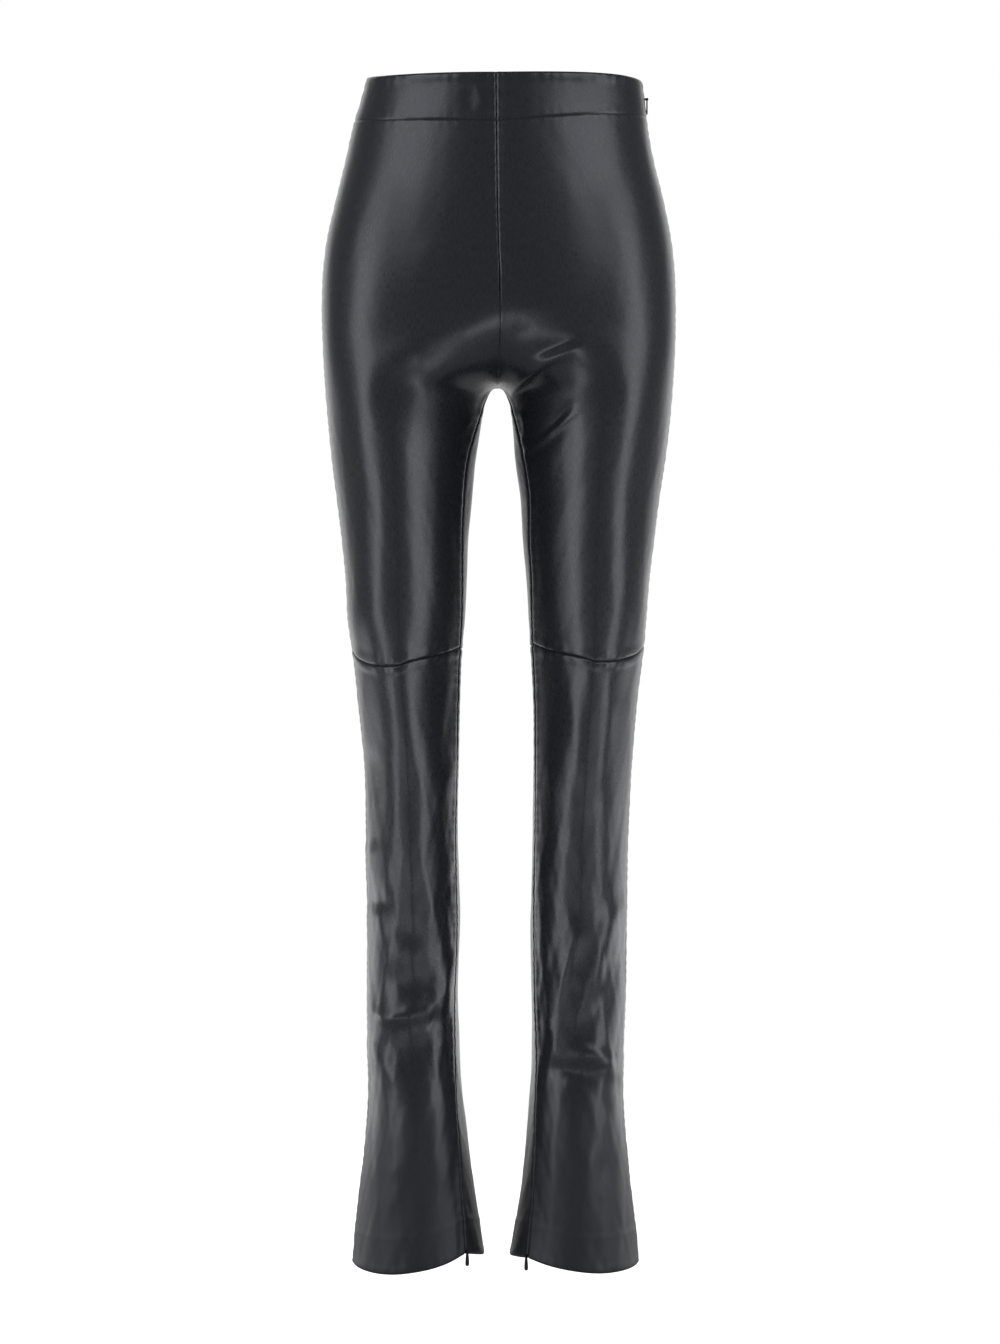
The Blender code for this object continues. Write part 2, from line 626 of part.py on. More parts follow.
def make_tape(name, leg, seam, slider_z, end_z, sheets, finish, collection):
    """The zip's tape, a strip of the panels' own points moved in behind the seam."""
    upper, lower = max(slider_z, end_z), min(slider_z, end_z)
    clear = SLIDER_BODY[2] / 2 + 2 * SLIDER_CLEARANCE
    if slider_z > end_z:
        upper = slider_z - clear
    else:
        lower = slider_z + clear
    places = (-TAPE_HALF_WIDTH, -TAPE_HALF_WIDTH / 3, TAPE_HALF_WIDTH / 3, TAPE_HALF_WIDTH)
    rows = tape_rows(sheets, leg, seam, upper, lower)
    points = np.array(
        [[beside_seam(sheets, leg, seam, part, z, away) for away in places] for part, z, _ in rows]
    )
    depths = np.array([depth for _, _, depth in rows])[:, None, None]
    normals = np.cross(np.gradient(points, axis=0), np.gradient(points, axis=1))
    normals /= np.linalg.norm(normals, axis=-1, keepdims=True)
    outward = np.array([seam_frame(leg, seam, z)[1] for _, z, _ in rows])[:, None]
    normals *= np.sign(np.sum(normals * outward, axis=-1, keepdims=True))
    outer = points - normals * depths
    inner = outer - normals * TAPE_THICKNESS
    placed(name + "_tape", wall_mesh(name + "_tape", outer, inner), finish, collection)


def add_box(bm, size, centre):
    made = bmesh.ops.create_cube(bm, size=1.0)
    bmesh.ops.scale(bm, vec=Vector(size) * MM, verts=made["verts"])
    bmesh.ops.translate(bm, vec=Vector(centre) * MM, verts=made["verts"])


def add_rod(bm, radius, length, centre, segments):
    """A rod along X."""
    turn = Matrix.Rotation(math.pi / 2, 4, "Y")
    made = bmesh.ops.create_cone(
        bm, cap_ends=True, segments=segments, radius1=radius * MM, radius2=radius * MM,
        depth=length * MM, matrix=turn,
    )
    bmesh.ops.translate(bm, vec=Vector(centre) * MM, verts=made["verts"])


def mesh_of(name, build):
    bm = bmesh.new()
    build(bm)
    mesh = bpy.data.meshes.new(name)
    bm.to_mesh(mesh)
    bm.free()
    return mesh


def boolean(obj, operation, cutter_mesh, helpers):
    name = f"{obj.name}_{operation.lower()}{len(obj.modifiers)}"
    cutter = bpy.data.objects.new(name, cutter_mesh)
    helpers.objects.link(cutter)
    cutter.parent = obj.parent
    cutter.hide_render = True
    cutter.display_type = "WIRE"
    cut = obj.modifiers.new(operation, "BOOLEAN")
    cut.operation = operation
    cut.object = cutter


def slider_frame(name, leg, seam, z):
    """An empty at the pull's pivot: X runs along the pin and Y out of the cloth."""
    point, out, _ = seam_frame(leg, seam, z)
    frame = bpy.data.objects.new(name + "_frame", None)
    pin = Vector((out[1], -out[0], 0.0))
    frame.matrix_world = Matrix((
        (pin.x, out[0], 0, 0),
        (pin.y, out[1], 0, 0),
        (0, 0, 1, 0),
        (0, 0, 0, 1),
    ))
    frame.location = Vector(point + out * PIVOT_OUT) * MM
    return frame


def make_slider(name, frame, finish, collection, helpers):
    """Body behind the cloth, with a fork through the seam that holds the pull's pin."""
    behind = -(PIVOT_OUT + BAND_WALL + SLIDER_CLEARANCE)
    body = mesh_of(
        name + "_slider",
        lambda bm: add_box(bm, SLIDER_BODY, (0, behind - SLIDER_BODY[1] / 2, 0)),
    )
    obj = placed(name + "_slider", body, finish, collection)
    obj.parent = frame
    reach = FORK_HALF_HEIGHT - behind + SLIDER_BODY[1] / 2
    for hand in (-1, 1):
        x = hand * (FORK_HALF_WIDTH - FORK_THICKNESS / 2)
        size = (FORK_THICKNESS, reach, 2 * FORK_HALF_HEIGHT)
        centre = (x, FORK_HALF_HEIGHT - reach / 2, 0)
        boolean(obj, "UNION", mesh_of("fork", lambda bm: add_box(bm, size, centre)), helpers)
    length = 2 * FORK_HALF_WIDTH - FORK_THICKNESS
    pin = mesh_of("pin", lambda bm: add_rod(bm, PIN_RADIUS, length, (0, 0, 0), PIN_SEGMENTS))
    boolean(obj, "UNION", pin, helpers)


def make_pull(name, frame, finish, collection, helpers):
    """The pull: an eye round the pin, and a tongue that hangs from it and widens to a round end."""
    tip = PULL_WIDTH / 2
    end = PULL_LENGTH - tip - EYE_RADIUS
    neck = EYE_WIDTH / 2
    outline = [(-neck, -EYE_HOLE_RADIUS - NECK_START), (-neck, NECK_LENGTH - PULL_SHOULDER)]
    for i in range(TONGUE_ROWS):
        share = i / (TONGUE_ROWS - 1)
        wide = SHOULDER_HALF_WIDTH + (tip - SHOULDER_HALF_WIDTH) * math.sin(share * math.pi / 2)
        outline.append((-wide, -PULL_SHOULDER - (end - PULL_SHOULDER) * share))
    mirrored = [(-x, z) for x, z in reversed(outline)]
    for i in range(1, TIP_STEPS):
        angle = math.pi * i / TIP_STEPS
        outline.append((-tip * math.cos(angle), -end - tip * math.sin(angle)))

    def tongue(bm):
        verts = [bm.verts.new(Vector((x, -PULL_THICKNESS / 2, z)) * MM) for x, z in outline + mirrored]
        flat = bm.faces.new(verts)
        grown = bmesh.ops.extrude_face_region(bm, geom=[flat])
        lifted = [part for part in grown["geom"] if isinstance(part, bmesh.types.BMVert)]
        bmesh.ops.translate(bm, vec=Vector((0, PULL_THICKNESS, 0)) * MM, verts=lifted)
        face_outward(bm)

    eye = mesh_of(
        name + "_pull", lambda bm: add_rod(bm, EYE_RADIUS, EYE_WIDTH, (0, 0, 0), EYE_SEGMENTS)
    )
    obj = placed(name + "_pull", eye, finish, collection)
    obj.parent = frame
    boolean(obj, "UNION", mesh_of("tongue", tongue), helpers)
    through_eye = EYE_WIDTH * 4
    hole = mesh_of(
        "hole", lambda bm: add_rod(bm, EYE_HOLE_RADIUS, through_eye, (0, 0, 0), HOLE_SEGMENTS)
    )
    boolean(obj, "DIFFERENCE", hole, helpers)


def main():
    clear_scene()
    collection = bpy.data.collections.new("leggings")
    helpers = bpy.data.collections.new("helpers")
    bpy.context.scene.collection.children.link(collection)
    bpy.context.scene.collection.children.link(helpers)
    cloth = material("coated_cloth", (0.018, 0.019, 0.021), 0.33)
    tape = material("zip_tape", (0.012, 0.012, 0.013), 0.8)
    metal = material("zip_metal", (0.02, 0.02, 0.022), 0.3, 1.0)
    sheets = all_sheets()
    make_panels(sheets, cloth, collection)
    for name, (leg, seam, slider_z, end_z) in ZIPS.items():
        frame = slider_frame(name, leg, seam, slider_z)
        collection.objects.link(frame)
        make_tape(name, leg, seam, slider_z, end_z, sheets, tape, collection)
        make_slider(name, frame, metal, collection, helpers)
        make_pull(name, frame, metal, collection, helpers)


main()
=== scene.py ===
"""Looks of the flared leggings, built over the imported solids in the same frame.

Garment sizes are in millimetres and MM turns them into Blender's metres, +Z up. The front faces -Y
and the wearer's left leg is at +X. Each panel is a thin wall on the form of its solid, with finer
folds and rolled seam edges.
"""

import json
import math

import bmesh
import bpy
import numpy as np
from mathutils import Matrix, Vector

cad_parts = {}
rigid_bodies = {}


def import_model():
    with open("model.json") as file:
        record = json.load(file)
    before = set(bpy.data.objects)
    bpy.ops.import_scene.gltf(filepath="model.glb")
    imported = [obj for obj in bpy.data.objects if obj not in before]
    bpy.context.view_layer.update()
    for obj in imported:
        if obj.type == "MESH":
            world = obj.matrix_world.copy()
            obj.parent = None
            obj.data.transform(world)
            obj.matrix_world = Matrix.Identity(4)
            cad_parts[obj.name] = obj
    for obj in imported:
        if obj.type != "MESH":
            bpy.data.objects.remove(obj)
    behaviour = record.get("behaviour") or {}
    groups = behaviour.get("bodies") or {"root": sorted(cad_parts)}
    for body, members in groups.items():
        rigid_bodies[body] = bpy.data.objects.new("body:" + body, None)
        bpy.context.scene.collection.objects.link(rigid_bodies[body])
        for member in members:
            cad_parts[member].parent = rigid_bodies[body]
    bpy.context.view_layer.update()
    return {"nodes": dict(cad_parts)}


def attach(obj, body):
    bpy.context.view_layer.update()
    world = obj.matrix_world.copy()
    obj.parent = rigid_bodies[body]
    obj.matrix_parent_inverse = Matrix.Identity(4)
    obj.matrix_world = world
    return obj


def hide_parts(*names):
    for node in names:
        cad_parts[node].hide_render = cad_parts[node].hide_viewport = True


MM = 0.001

# Cloth and levels, as in the solids
WALL = 1.4
BAND_WALL = 2.4
HEM_WALL = 2.4
CROTCH_Z = -286.0
CROTCH_X = -1.0
RISE_TURN_Z = {"front": -186.0, "back": -196.0}  # where the rise starts to curve under
RISE_POWER = 3.0
RISE_FOCUS = 5  # how closely the U of the rise keeps to the centre seams
# Where the slanting groin starts and ends: at the hips, and beside the rise
GROIN = {
    "right_front": (-236.0, -216.0, -306.0, -350.0),
    "left_front": (-230.0, -206.0, -306.0, -338.0),
    "right_back": (-236.0, -198.0, -306.0, -340.0),
    "left_back": (-236.0, -198.0, -306.0, -340.0),
}
# From which share of the way to the centre the groin slants, and over how much of it
GROIN_START_SLANT = (0.5, 0.45)
GROIN_END_SLANT = (0.6, 0.3)
NEAR_CENTRE = 0.6  # and where the centre's own shape begins
ARCH_HEIGHT = 18.0
ARCH_FOCUS = 8
CROWDING_START_Z = -140.0  # from here down to the crotch the columns draw together at the rise
EVEN_BELOW_CROTCH = 120.0  # by here the columns are spread evenly round the leg
BAND_Z = -40.0
KNEE_Z = -533.0
HEM_Z = -1095.0
HEM_TURN_UP = 39.0
HEM_STEP = 3.0  # the double cloth of the hem ends over this much
ANKLE_ZIP_TOP = -915.0
MATT_Z = -900.0  # the cloth grows duller from here down
MATT_REACH = 150.0
HIP_SQUARENESS = (1.06, 0.93, 0.79)  # of the sections at the waist, hips and crotch
WAIST_END_Z = -100.0  # where the waist's own shape ends
SQUARING_START_Z = -120.0  # where the hips start to square up

PARTS = ("waistband", "thigh", "shin")
LEGS = {"right": -1, "left": 1}
FACES = {"front": -1, "back": 1}

# Cross-sections: x of each leg's outer and inner line, y of the front, the back and the side seam
SECTION_COLUMNS = (
    "z", "right_outer", "right_inner", "left_inner", "left_outer", "front", "back", "side"
)
SECTIONS = (
    (0, -122.5, -11.0, 9.0, 133.0, -84, 92, 0),
    (-20, -128.0, -11.0, 9.0, 136.0, -86.2, 94, 0),
    (-40, -134.0, -11.0, 9.0, 138.0, -89, 97, 0),
    (-75, -142.0, -11.0, 9.0, 144.0, -95, 104, 0),
    (-112, -151.0, -11.0, 9.0, 153.0, -101.5, 114, 0),
    (-150, -159.5, -11.0, 9.0, 160.5, -105.5, 123, 0),
    (-205, -164.0, -11.0, 9.0, 164.5, -107.5, 129, 0),
    (-224, -163.9, -11.0, 9.0, 164.5, -106, 127, 0),
    (-243, -163.3, -11.0, 9.0, 164.3, -103, 124, 0),
    (-265, -162.3, -11.0, 9.0, 163.3, -98, 117, 1),
    (-286, -161.0, -11.0, 9.0, 162.0, -93, 108, 2),
    (-316, -158.6, -15.3, 12.6, 159.5, -89.5, 96, 2),
    (-353, -155.0, -21.0, 15.5, 155.0, -86.5, 88, 1),
    (-391, -150.0, -24.6, 20.5, 149.3, -83.5, 83, 0),
    (-428, -145.5, -28.0, 22.5, 144.6, -80.5, 78, -2),
    (-465, -141.8, -29.3, 26.0, 140.0, -77.5, 73, -3),
    (-502, -140.0, -31.2, 28.0, 137.2, -74.8, 67, -3),
    (-533, -135.5, -34.0, 30.0, 134.3, -72.5, 62, -2),
    (-577, -130.7, -35.8, 32.1, 128.8, -69, 63, 1),
    (-632, -125.1, -36.7, 32.5, 124.2, -64, 68, 3),
    (-707, -123.2, -37.7, 31.5, 120.6, -58, 73, 6),
    (-781, -122.3, -36.0, 30.2, 119.5, -53.5, 73, 8),
    (-856, -122.5, -37.7, 30.6, 118.3, -51.5, 69, 8),
    (-911, -121.4, -35.8, 31.0, 116.0, -53, 65, 6),
    (-949, -121.4, -33.0, 28.4, 115.8, -57, 66, 5),
    (-986, -124.2, -28.4, 25.6, 118.6, -62, 69, 4),
    (-1023, -127.9, -23.7, 21.9, 122.3, -67, 73, 4),
    (-1060, -132.5, -18.1, 16.3, 126.9, -71, 77, 4),
    (-1099, -135.6, -12.5, 9.5, 130.2, -75, 80, 4),
)

# x of the centre seams down the rise
CENTRE_COLUMNS = ("z", "front", "back")
CENTRES = (
    (0, -2.3, 4.0),
    (-120, -1.0, 2.0),
    (-250, 1.2, 0.0),
    (CROTCH_Z, CROTCH_X, CROTCH_X),
)

# Angle of the inseam round the leg, from the side seam through the front, in degrees
INSEAM_COLUMNS = ("z", "degrees")
INSEAMS = (
    (CROTCH_Z, 180),
    (-330, 163),
    (-450, 160),
    (-533, 166),
    (-720, 162),
    (-880, 156),
    (-930, 151),
    (-1000, 144),
    (-1099, 136),
)

# The front of each leg: how far outside the middle its foremost line runs, and how peaked the
# section is on either side of it (1 is an ellipse)
CREST_COLUMNS = ("z", "outward", "outer_power", "inner_power")
CRESTS = (
    (CROTCH_Z, 12.0, 1.0, 1.5),
    (-391, 6.5, 1.15, 1.42),
    (-484, 6.0, 1.05, 1.36),
    (-577, 4.5, 1.25, 1.5),
    (-651, 2.5, 1.25, 1.25),
    (-760, 1.0, 1.1, 1.1),
    (-860, 0.0, 1.0, 1.0),
    (-1099, 0.0, 1.0, 1.0),
)

# Seam lines: height above (+) or below (-) the nominal level, at places across the panel from the
# side seam (0) to its inner edge (1)
LINE_COLUMNS = ("across", "right_front", "left_front", "right_back", "left_back")
WAIST_EDGE = (
    (0.0, 1.5, -1.5, 1.5, -1.5),
    (0.4, -0.5, 0.5, 2.0, 1.0),
    (1.0, -1.5, -1.5, 4.0, 4.0),
)
BAND_LINE = (
    (0.0, 1.5, 5.0, 1.5, 5.0),
    (0.5, -3.0, 2.5, -1.0, 1.5),
    (1.0, -6.5, -6.5, -3.5, -3.5),
)
KNEE_LINE = (
    (0.0, 4.0, 8.0, 4.0, 8.0),
    (0.2, -8.0, -2.5, 1.5, 4.0),
    (0.45, -12.5, -8.5, -1.5, 1.0),
    (0.75, -4.5, -1.5, 1.0, 3.0),
    (1.0, 5.0, 8.5, 5.0, 8.5),
)
HEM_LINE = (
    (0.0, -4.0, -4.0, -4.0, -4.0),
    (0.55, -8.0, -7.0, -3.0, -3.0),
    (0.85, 1.0, 0.0, 4.0, 3.0),
    (1.0, 9.0, 5.0, 9.0, 5.0),
)
LINE_REACH = 60.0  # a seam line's shape dies away this far into the panel

# The solids' largest folds: height out of the cloth, width to the shoulder, and the line of each as
# (x, z) seen from the front or the back.
FOLDS = {
    ("right", "front"): (
        (1.2, 18, ((-88, -270), (-48, -252), (-12, -238))),
        (0.8, 10, ((-99, -555), (-92, -609), (-94, -664), (-85, -718), (-92, -771))),
        (0.8, 10, ((-72, -555), (-79, -618), (-73, -672), (-75, -728), (-68, -757))),
        (-1.2, 12, ((-114, -741), (-106, -764), (-88, -790), (-60, -800))),
        (-2.2, 20, ((-112, -838), (-88, -836), (-58, -824))),
        (1.8, 11, ((-120, -864), (-93, -868), (-60, -858), (-52, -840))),
        (1.5, 9, ((-40, -798), (-49, -840), (-59, -882))),
        (-1.5, 10, ((-53, -845), (-62, -885), (-74, -912))),
        (1.2, 10, ((-117, -889), (-103, -916), (-92, -935))),
        (-1.2, 12, ((-120, -930), (-112, -985), (-104, -1020))),
        (1.0, 11, ((-86, -930), (-76, -975), (-88, -1020))),
    ),
    ("left", "front"): (
        (1.2, 16, ((12, -248), (50, -243), (86, -252))),
        (-0.5, 9, ((22, -264), (48, -258), (72, -252))),
        (0.8, 7, ((12, -290), (26, -275), (40, -264), (58, -262))),
        (-1.2, 9, ((24, -356), (44, -338), (62, -310))),
        (0.8, 10, ((64, -541), (71, -609), (75, -671))),
        (0.8, 10, ((102, -555), (98, -609), (90, -676))),
        (2.2, 11, ((118, -768), (101, -784), (90, -820), (76, -856), (62, -884))),
        (-2.2, 13, ((116, -800), (106, -822), (95, -852), (82, -884))),
        (0.9, 8, ((62, -776), (71, -793), (66, -813), (57, -842), (54, -878))),
        (1.5, 10, ((62, -900), (92, -907), (101, -918), (98, -930))),
        (-1.8, 11, ((42, -920), (68, -922), (92, -934))),
        (1.0, 11, ((74, -940), (70, -985), (90, -1024))),
        (-1.0, 11, ((104, -950), (94, -990), (108, -1030))),
    ),
    ("right", "back"): (
        (-1.5, 10, ((-122, -505), (-84, -520), (-48, -508))),
        (1.5, 11, ((-120, -548), (-84, -560), (-50, -545))),
        (-1.8, 14, ((-118, -300), (-76, -318), (-34, -306))),
        (-2.0, 14, ((-112, -850), (-80, -868), (-52, -856))),
        (1.8, 13, ((-112, -888), (-84, -900), (-50, -884))),
    ),
    ("left", "back"): (
        (-1.5, 10, ((120, -512), (82, -522), (44, -510))),
        (1.5, 11, ((118, -552), (82, -563), (46, -548))),
        (-1.8, 14, ((118, -304), (76, -316), (34, -304))),
        (-2.0, 14, ((106, -842), (76, -862), (46, -870))),
        (1.8, 13, ((108, -876), (78, -896), (46, -900))),
    ),
}
FOLD_EDGE = 0.07  # share of the panel's width over which a large fold dies away at a seam
FOLD_FADE = 0.3  # share of its length over which a large fold sinks at each end
FOLD_END_HEIGHT = 0.35  # share of its height left at the ends
FOLD_STEPS = 6  # of a fold's smooth line, from each point given to the next

# Finer folds: height, widths on the left and on the right of the line, looking along it, and line
FINE_FOLDS = {
    ("right", "front"): (
        (0.8, 5, 4, ((-21, -12), (-17, -24), (-12, -38))),
        (-0.6, 5, 5, ((-30, -17), (-27, -28), (-23, -41))),
        (0.3, 12, 12, ((-76, -158), (-54, -169), (-39, -166))),
        (1.2, 14, 16, ((6, -231), (-27, -238), (-60, -248), (-106, -264))),
        (2.0, 12, 16, ((4, -260), (-28, -266), (-52, -276), (-74, -294))),
        (1.2, 20, 14, ((-64, -254), (-84, -262), (-112, -276))),
        (-0.6, 9, 9, ((-64, -293), (-49, -286), (-34, -272))),
        (0.6, 4, 4, ((-32, -327), (-27, -319), (-19, -311))),
        (0.7, 5, 6, ((-30, -363), (-32, -389), (-33, -418))),
        (0.6, 8, 8, ((-123, -545), (-125, -577), (-123, -609), (-120, -642))),
        (-0.6, 8, 6, ((-116, -616), (-114, -646), (-112, -677))),
        (0.7, 6, 8, ((-106, -612), (-104, -646), (-107, -681))),
        (-0.6, 5, 5, ((-36, -533), (-42, -567), (-47, -604), (-52, -640))),
        (0.5, 5, 6, ((-40, -536), (-47, -577), (-53, -616))),
        (0.9, 8, 5, ((-38, -622), (-44, -642), (-51, -661), (-61, -701))),
        (-0.9, 6, 5, ((-37, -727), (-44, -744), (-46, -764), (-37, -781))),
        (1.3, 9, 9, ((-118, -702), (-119, -727), (-114, -755))),
        (-0.9, 8, 8, ((-125, -760), (-114, -763), (-99, -756))),
        (0.8, 9, 8, ((-113, -765), (-108, -783), (-101, -802))),
        (-0.8, 18, 14, ((-118, -835), (-92, -842), (-62, -835))),
        (1.6, 6, 10, ((-123, -864), (-106, -869), (-90, -867), (-60, -856))),
        (0.8, 8, 8, ((-121, -887), (-112, -906), (-99, -923))),
        (-0.7, 12, 9, ((-93, -884), (-97, -902), (-95, -919))),
        (1.7, 9, 5, ((-38, -798), (-45, -823), (-52, -856), (-60, -887))),
        (-1.5, 7, 5, ((-49, -842), (-56, -863), (-65, -886))),
        (0.6, 5, 5, ((-43, -889), (-56, -896), (-69, -899))),
        (1.3, 9, 8, ((-120, -993), (-108, -1004), (-95, -1008), (-77, -996))),
        (-1.4, 12, 9, ((-69, -990), (-79, -1023), (-86, -1046), (-93, -1073))),
        (0.7, 9, 9, ((-125, -1003), (-120, -1028), (-109, -1055))),
        (1.1, 11, 8, ((-54, -939), (-58, -986), (-49, -1032))),
        (0.5, 3, 3, ((-39, -1040), (-39, -1070), (-39, -1103))),
        (0.5, 3, 3, ((-32, -1045), (-32, -1071), (-32, -1103))),
    ),
    ("left", "front"): (
        (0.3, 11, 8, ((1, -158), (14, -155), (29, -160))),
        (1.4, 13, 24, ((-4, -228), (30, -219), (60, -212), (100, -206))),
        (1.8, 14, 15, ((-4, -260), (36, -264), (68, -258), (92, -252))),
        (-0.6, 8, 7, ((9, -242), (22, -240), (37, -237))),
        (-1.2, 7, 4, ((27, -262), (43, -257), (59, -251), (78, -246))),
        (1.3, 4, 5, ((33, -269), (46, -262), (63, -257), (85, -247))),
        (2.0, 4, 3, ((9, -301), (15, -290), (27, -279), (46, -267), (68, -260))),
        (-1.0, 11, 11, ((24, -299), (37, -288), (53, -279))),
        (-1.6, 4, 4, ((27, -346), (42, -330), (57, -315), (72, -299))),
        (2.0, 5, 3, ((15, -361), (29, -346), (45, -333), (61, -320), (78, -307))),
        (1.3, 3, 3, ((17, -308), (23, -316), (25, -329), (21, -344))),
        (1.0, 4, 4, ((27, -377), (25, -389), (23, -404))),
        (1.0, 5, 7, ((40, -705), (40, -737), (43, -770))),
        (0.6, 9, 9, ((65, -539), (68, -574), (73, -609), (76, -670))),
        (0.6, 9, 9, ((104, -553), (99, -607), (91, -677))),
        (0.8, 12, 8, ((134, -530), (122, -575), (117, -623), (107, -675), (104, -716))),
        (1.4, 6, 6, ((62, -773), (72, -790), (67, -813), (59, -842), (54, -878))),
        (-0.8, 10, 13, ((80, -832), (73, -860), (76, -889))),
        (1.5, 6, 9, ((59, -896), (78, -898), (94, -903), (103, -913), (100, -925))),
        (-1.3, 11, 11, ((39, -913), (59, -919), (93, -917))),
        (0.6, 5, 5, ((43, -867), (45, -876), (49, -886))),
        (0.8, 8, 9, ((117, -897), (111, -917), (108, -941))),
        (0.5, 5, 5, ((40, -628), (47, -646), (55, -690))),
        (1.5, 11, 8, ((115, -928), (100, -965), (85, -995), (77, -1019))),
        (-1.6, 12, 10, ((106, -988), (93, -1023), (87, -1062))),
        (0.7, 12, 12, ((110, -965), (114, -1014), (113, -1071))),
        (1.0, 11, 8, ((46, -949), (53, -995), (48, -1046))),
    ),
    ("right", "back"): (
        (0.9, 8, 6, ((-30, -292), (-58, -304), (-92, -300), (-124, -286))),
        (-0.8, 8, 11, ((-26, -318), (-60, -332), (-100, -326))),
        (0.7, 6, 6, ((-32, -352), (-52, -338), (-78, -334))),
        (1.0, 6, 8, ((-38, -500), (-66, -498), (-96, -508), (-126, -502))),
        (-1.0, 7, 7, ((-44, -524), (-74, -532), (-108, -526))),
        (0.9, 7, 6, ((-128, -534), (-100, -541), (-62, -536))),
        (-0.8, 8, 7, ((-118, -566), (-84, -575), (-50, -562))),
        (0.6, 7, 10, ((-112, -590), (-96, -650), (-98, -720))),
        (0.6, 8, 7, ((-54, -600), (-62, -680), (-54, -750))),
        (1.2, 8, 6, ((-118, -790), (-96, -812), (-66, -822), (-40, -812))),
        (-1.1, 10, 8, ((-116, -818), (-88, -836), (-60, -842))),
        (1.1, 7, 7, ((-48, -860), (-72, -878), (-104, -872))),
        (-1.2, 11, 10, ((-116, -908), (-86, -924), (-52, -916))),
        (1.1, 8, 11, ((-110, -936), (-88, -962), (-84, -1010))),
        (-0.9, 13, 11, ((-56, -950), (-62, -1000), (-50, -1060))),
        (0.8, 11, 8, ((-112, -1000), (-104, -1040), (-112, -1080))),
    ),
    ("left", "back"): (
        (0.8, 7, 8, ((28, -296), (56, -300), (88, -312), (120, -300))),
        (-0.8, 10, 8, ((30, -326), (64, -324), (96, -336))),
        (0.6, 6, 7, ((36, -344), (58, -350), (80, -342))),
        (0.9, 7, 7, ((40, -504), (72, -496), (104, -500), (128, -512))),
        (-0.9, 7, 8, ((46, -518), (80, -530), (112, -522))),
        (0.9, 6, 7, ((42, -536), (70, -544), (110, -538))),
        (-0.9, 7, 10, ((48, -570), (82, -566), (116, -574))),
        (0.7, 10, 7, ((106, -596), (100, -660), (94, -730))),
        (0.6, 7, 8, ((50, -590), (56, -660), (60, -742))),
        (1.2, 7, 7, ((110, -796), (88, -806), (60, -824), (38, -820))),
        (-1.2, 8, 10, ((112, -830), (84, -838), (54, -850))),
        (1.0, 8, 6, ((44, -866), (74, -872), (100, -886))),
        (-1.1, 10, 11, ((112, -916), (84, -918), (50, -930))),
        (1.2, 11, 8, ((104, -940), (90, -970), (92, -1022))),
        (-0.8, 11, 13, ((52, -960), (58, -1010), (48, -1066))),
        (0.7, 8, 11, ((110, -1006), (100, -1046), (106, -1084))),
    ),
}
FINE_FOLD_EDGE = 6.0  # a fine fold dies away this far from a seam
FINE_FOLD_FADE = 0.35  # share of its length over which it dies away at each end
FINE_FOLD_POWER = 1.7  # shape of its slopes: less is sharper at the top

# Slow unevenness of the cloth: height and wavelengths across and along
WAVES = ((0.1, 47, 210), (0.07, 31, 130), (0.05, 19, 74), (0.03, 13, 38))
WAVE_STARTS = {"waistband": 1.3, "thigh": 0.0, "shin": 2.9}  # their phases, in radians
WAVE_LEG_START = 0.7
WAVE_FACE_START = 1.9
WAVE_DRIFT = (1.3, 1.7)  # how much their phase drifts, and how slowly against their length
HIP_WAVES = 0.6  # height of the waves at the hips, as a share of those above
THIGH_WAVES = 0.4  # the thighs' are higher by this share
THIGH_WAVES_REACH = 60.0  # and have grown to it this far below the crotch
SHIN_WAVES = 2.2  # the slacker shins' are higher again by this share
SHIN_WAVES_REACH = (60.0, 200.0)  # from this far below the knee, and over this length

CROTCH_EASE = 60.0  # the crotch's bend is softened this far up and down
EASE_EDGE = 14.0  # and less within this of the panel's inner edge
EASE_PASSES = 48

# Grids of the fine panels
FACE_SPACING = 2.05  # distance between rows and between columns
EDGE_DISTANCES = (0.0, 0.35, 0.8, 1.4, 2.2, 3.3)  # of the first columns and rows from a seam
PANEL_WIDTH = 165.0
RISE_ROWS = 58
LEG_ROWS = 118
LEG_ROW_CROWDING = 1.3  # draws the rows together under the crotch

# Seams and edges
SEAM_DEPTH = 0.75
SEAM_ROLL = 0.85
SEAM_ROLL_POWER = 1.5
BAND_SEAM = 0.4  # the waistband's seam is this much fainter than the others
MEETING_REACH = 3.0  # this near the rise's seam, its two sides face the same way
MEETING_FADE = 6.0  # and this far below the crotch they no longer do
# A front edge stands up by this: the left one at the centre seam, and both along the ankle zips
LIP_HEIGHT = 0.55
LIP_PLACE = 2.6  # from the seam to the middle of that lip
LIP_WIDTH = 1.4
LIP_FADE = 20.0
ALLOWANCE_RISE = 0.28
ALLOWANCE_WIDTH = 9.0
ALLOWANCE_FADES = (2.0, 3.0)  # over which the rise fades at the seam, and at the allowance's edge
CROTCH_PAINTED_SHADE = (16.0, 9.0, 0.85)  # half the width and height of the spot of painted shade at the crotch, and its strength
SEAM_SHADE_WIDTH = 0.65  # of the painted shade along a seam, on each side
HEM_RIDGE = (33.0, 0.45, 2.2)  # the turned-up edge shows: height over the hem, rise, width
PUCKER_HEIGHT = 0.22
PUCKER_REACH = 9.0
PUCKER_FADE = 2.5
UPRIGHT_PUCKERS = (1.7, 7.3)  # their lengths along a seam, and how slowly those drift
LEVEL_PUCKERS = (1.9, 8.1)

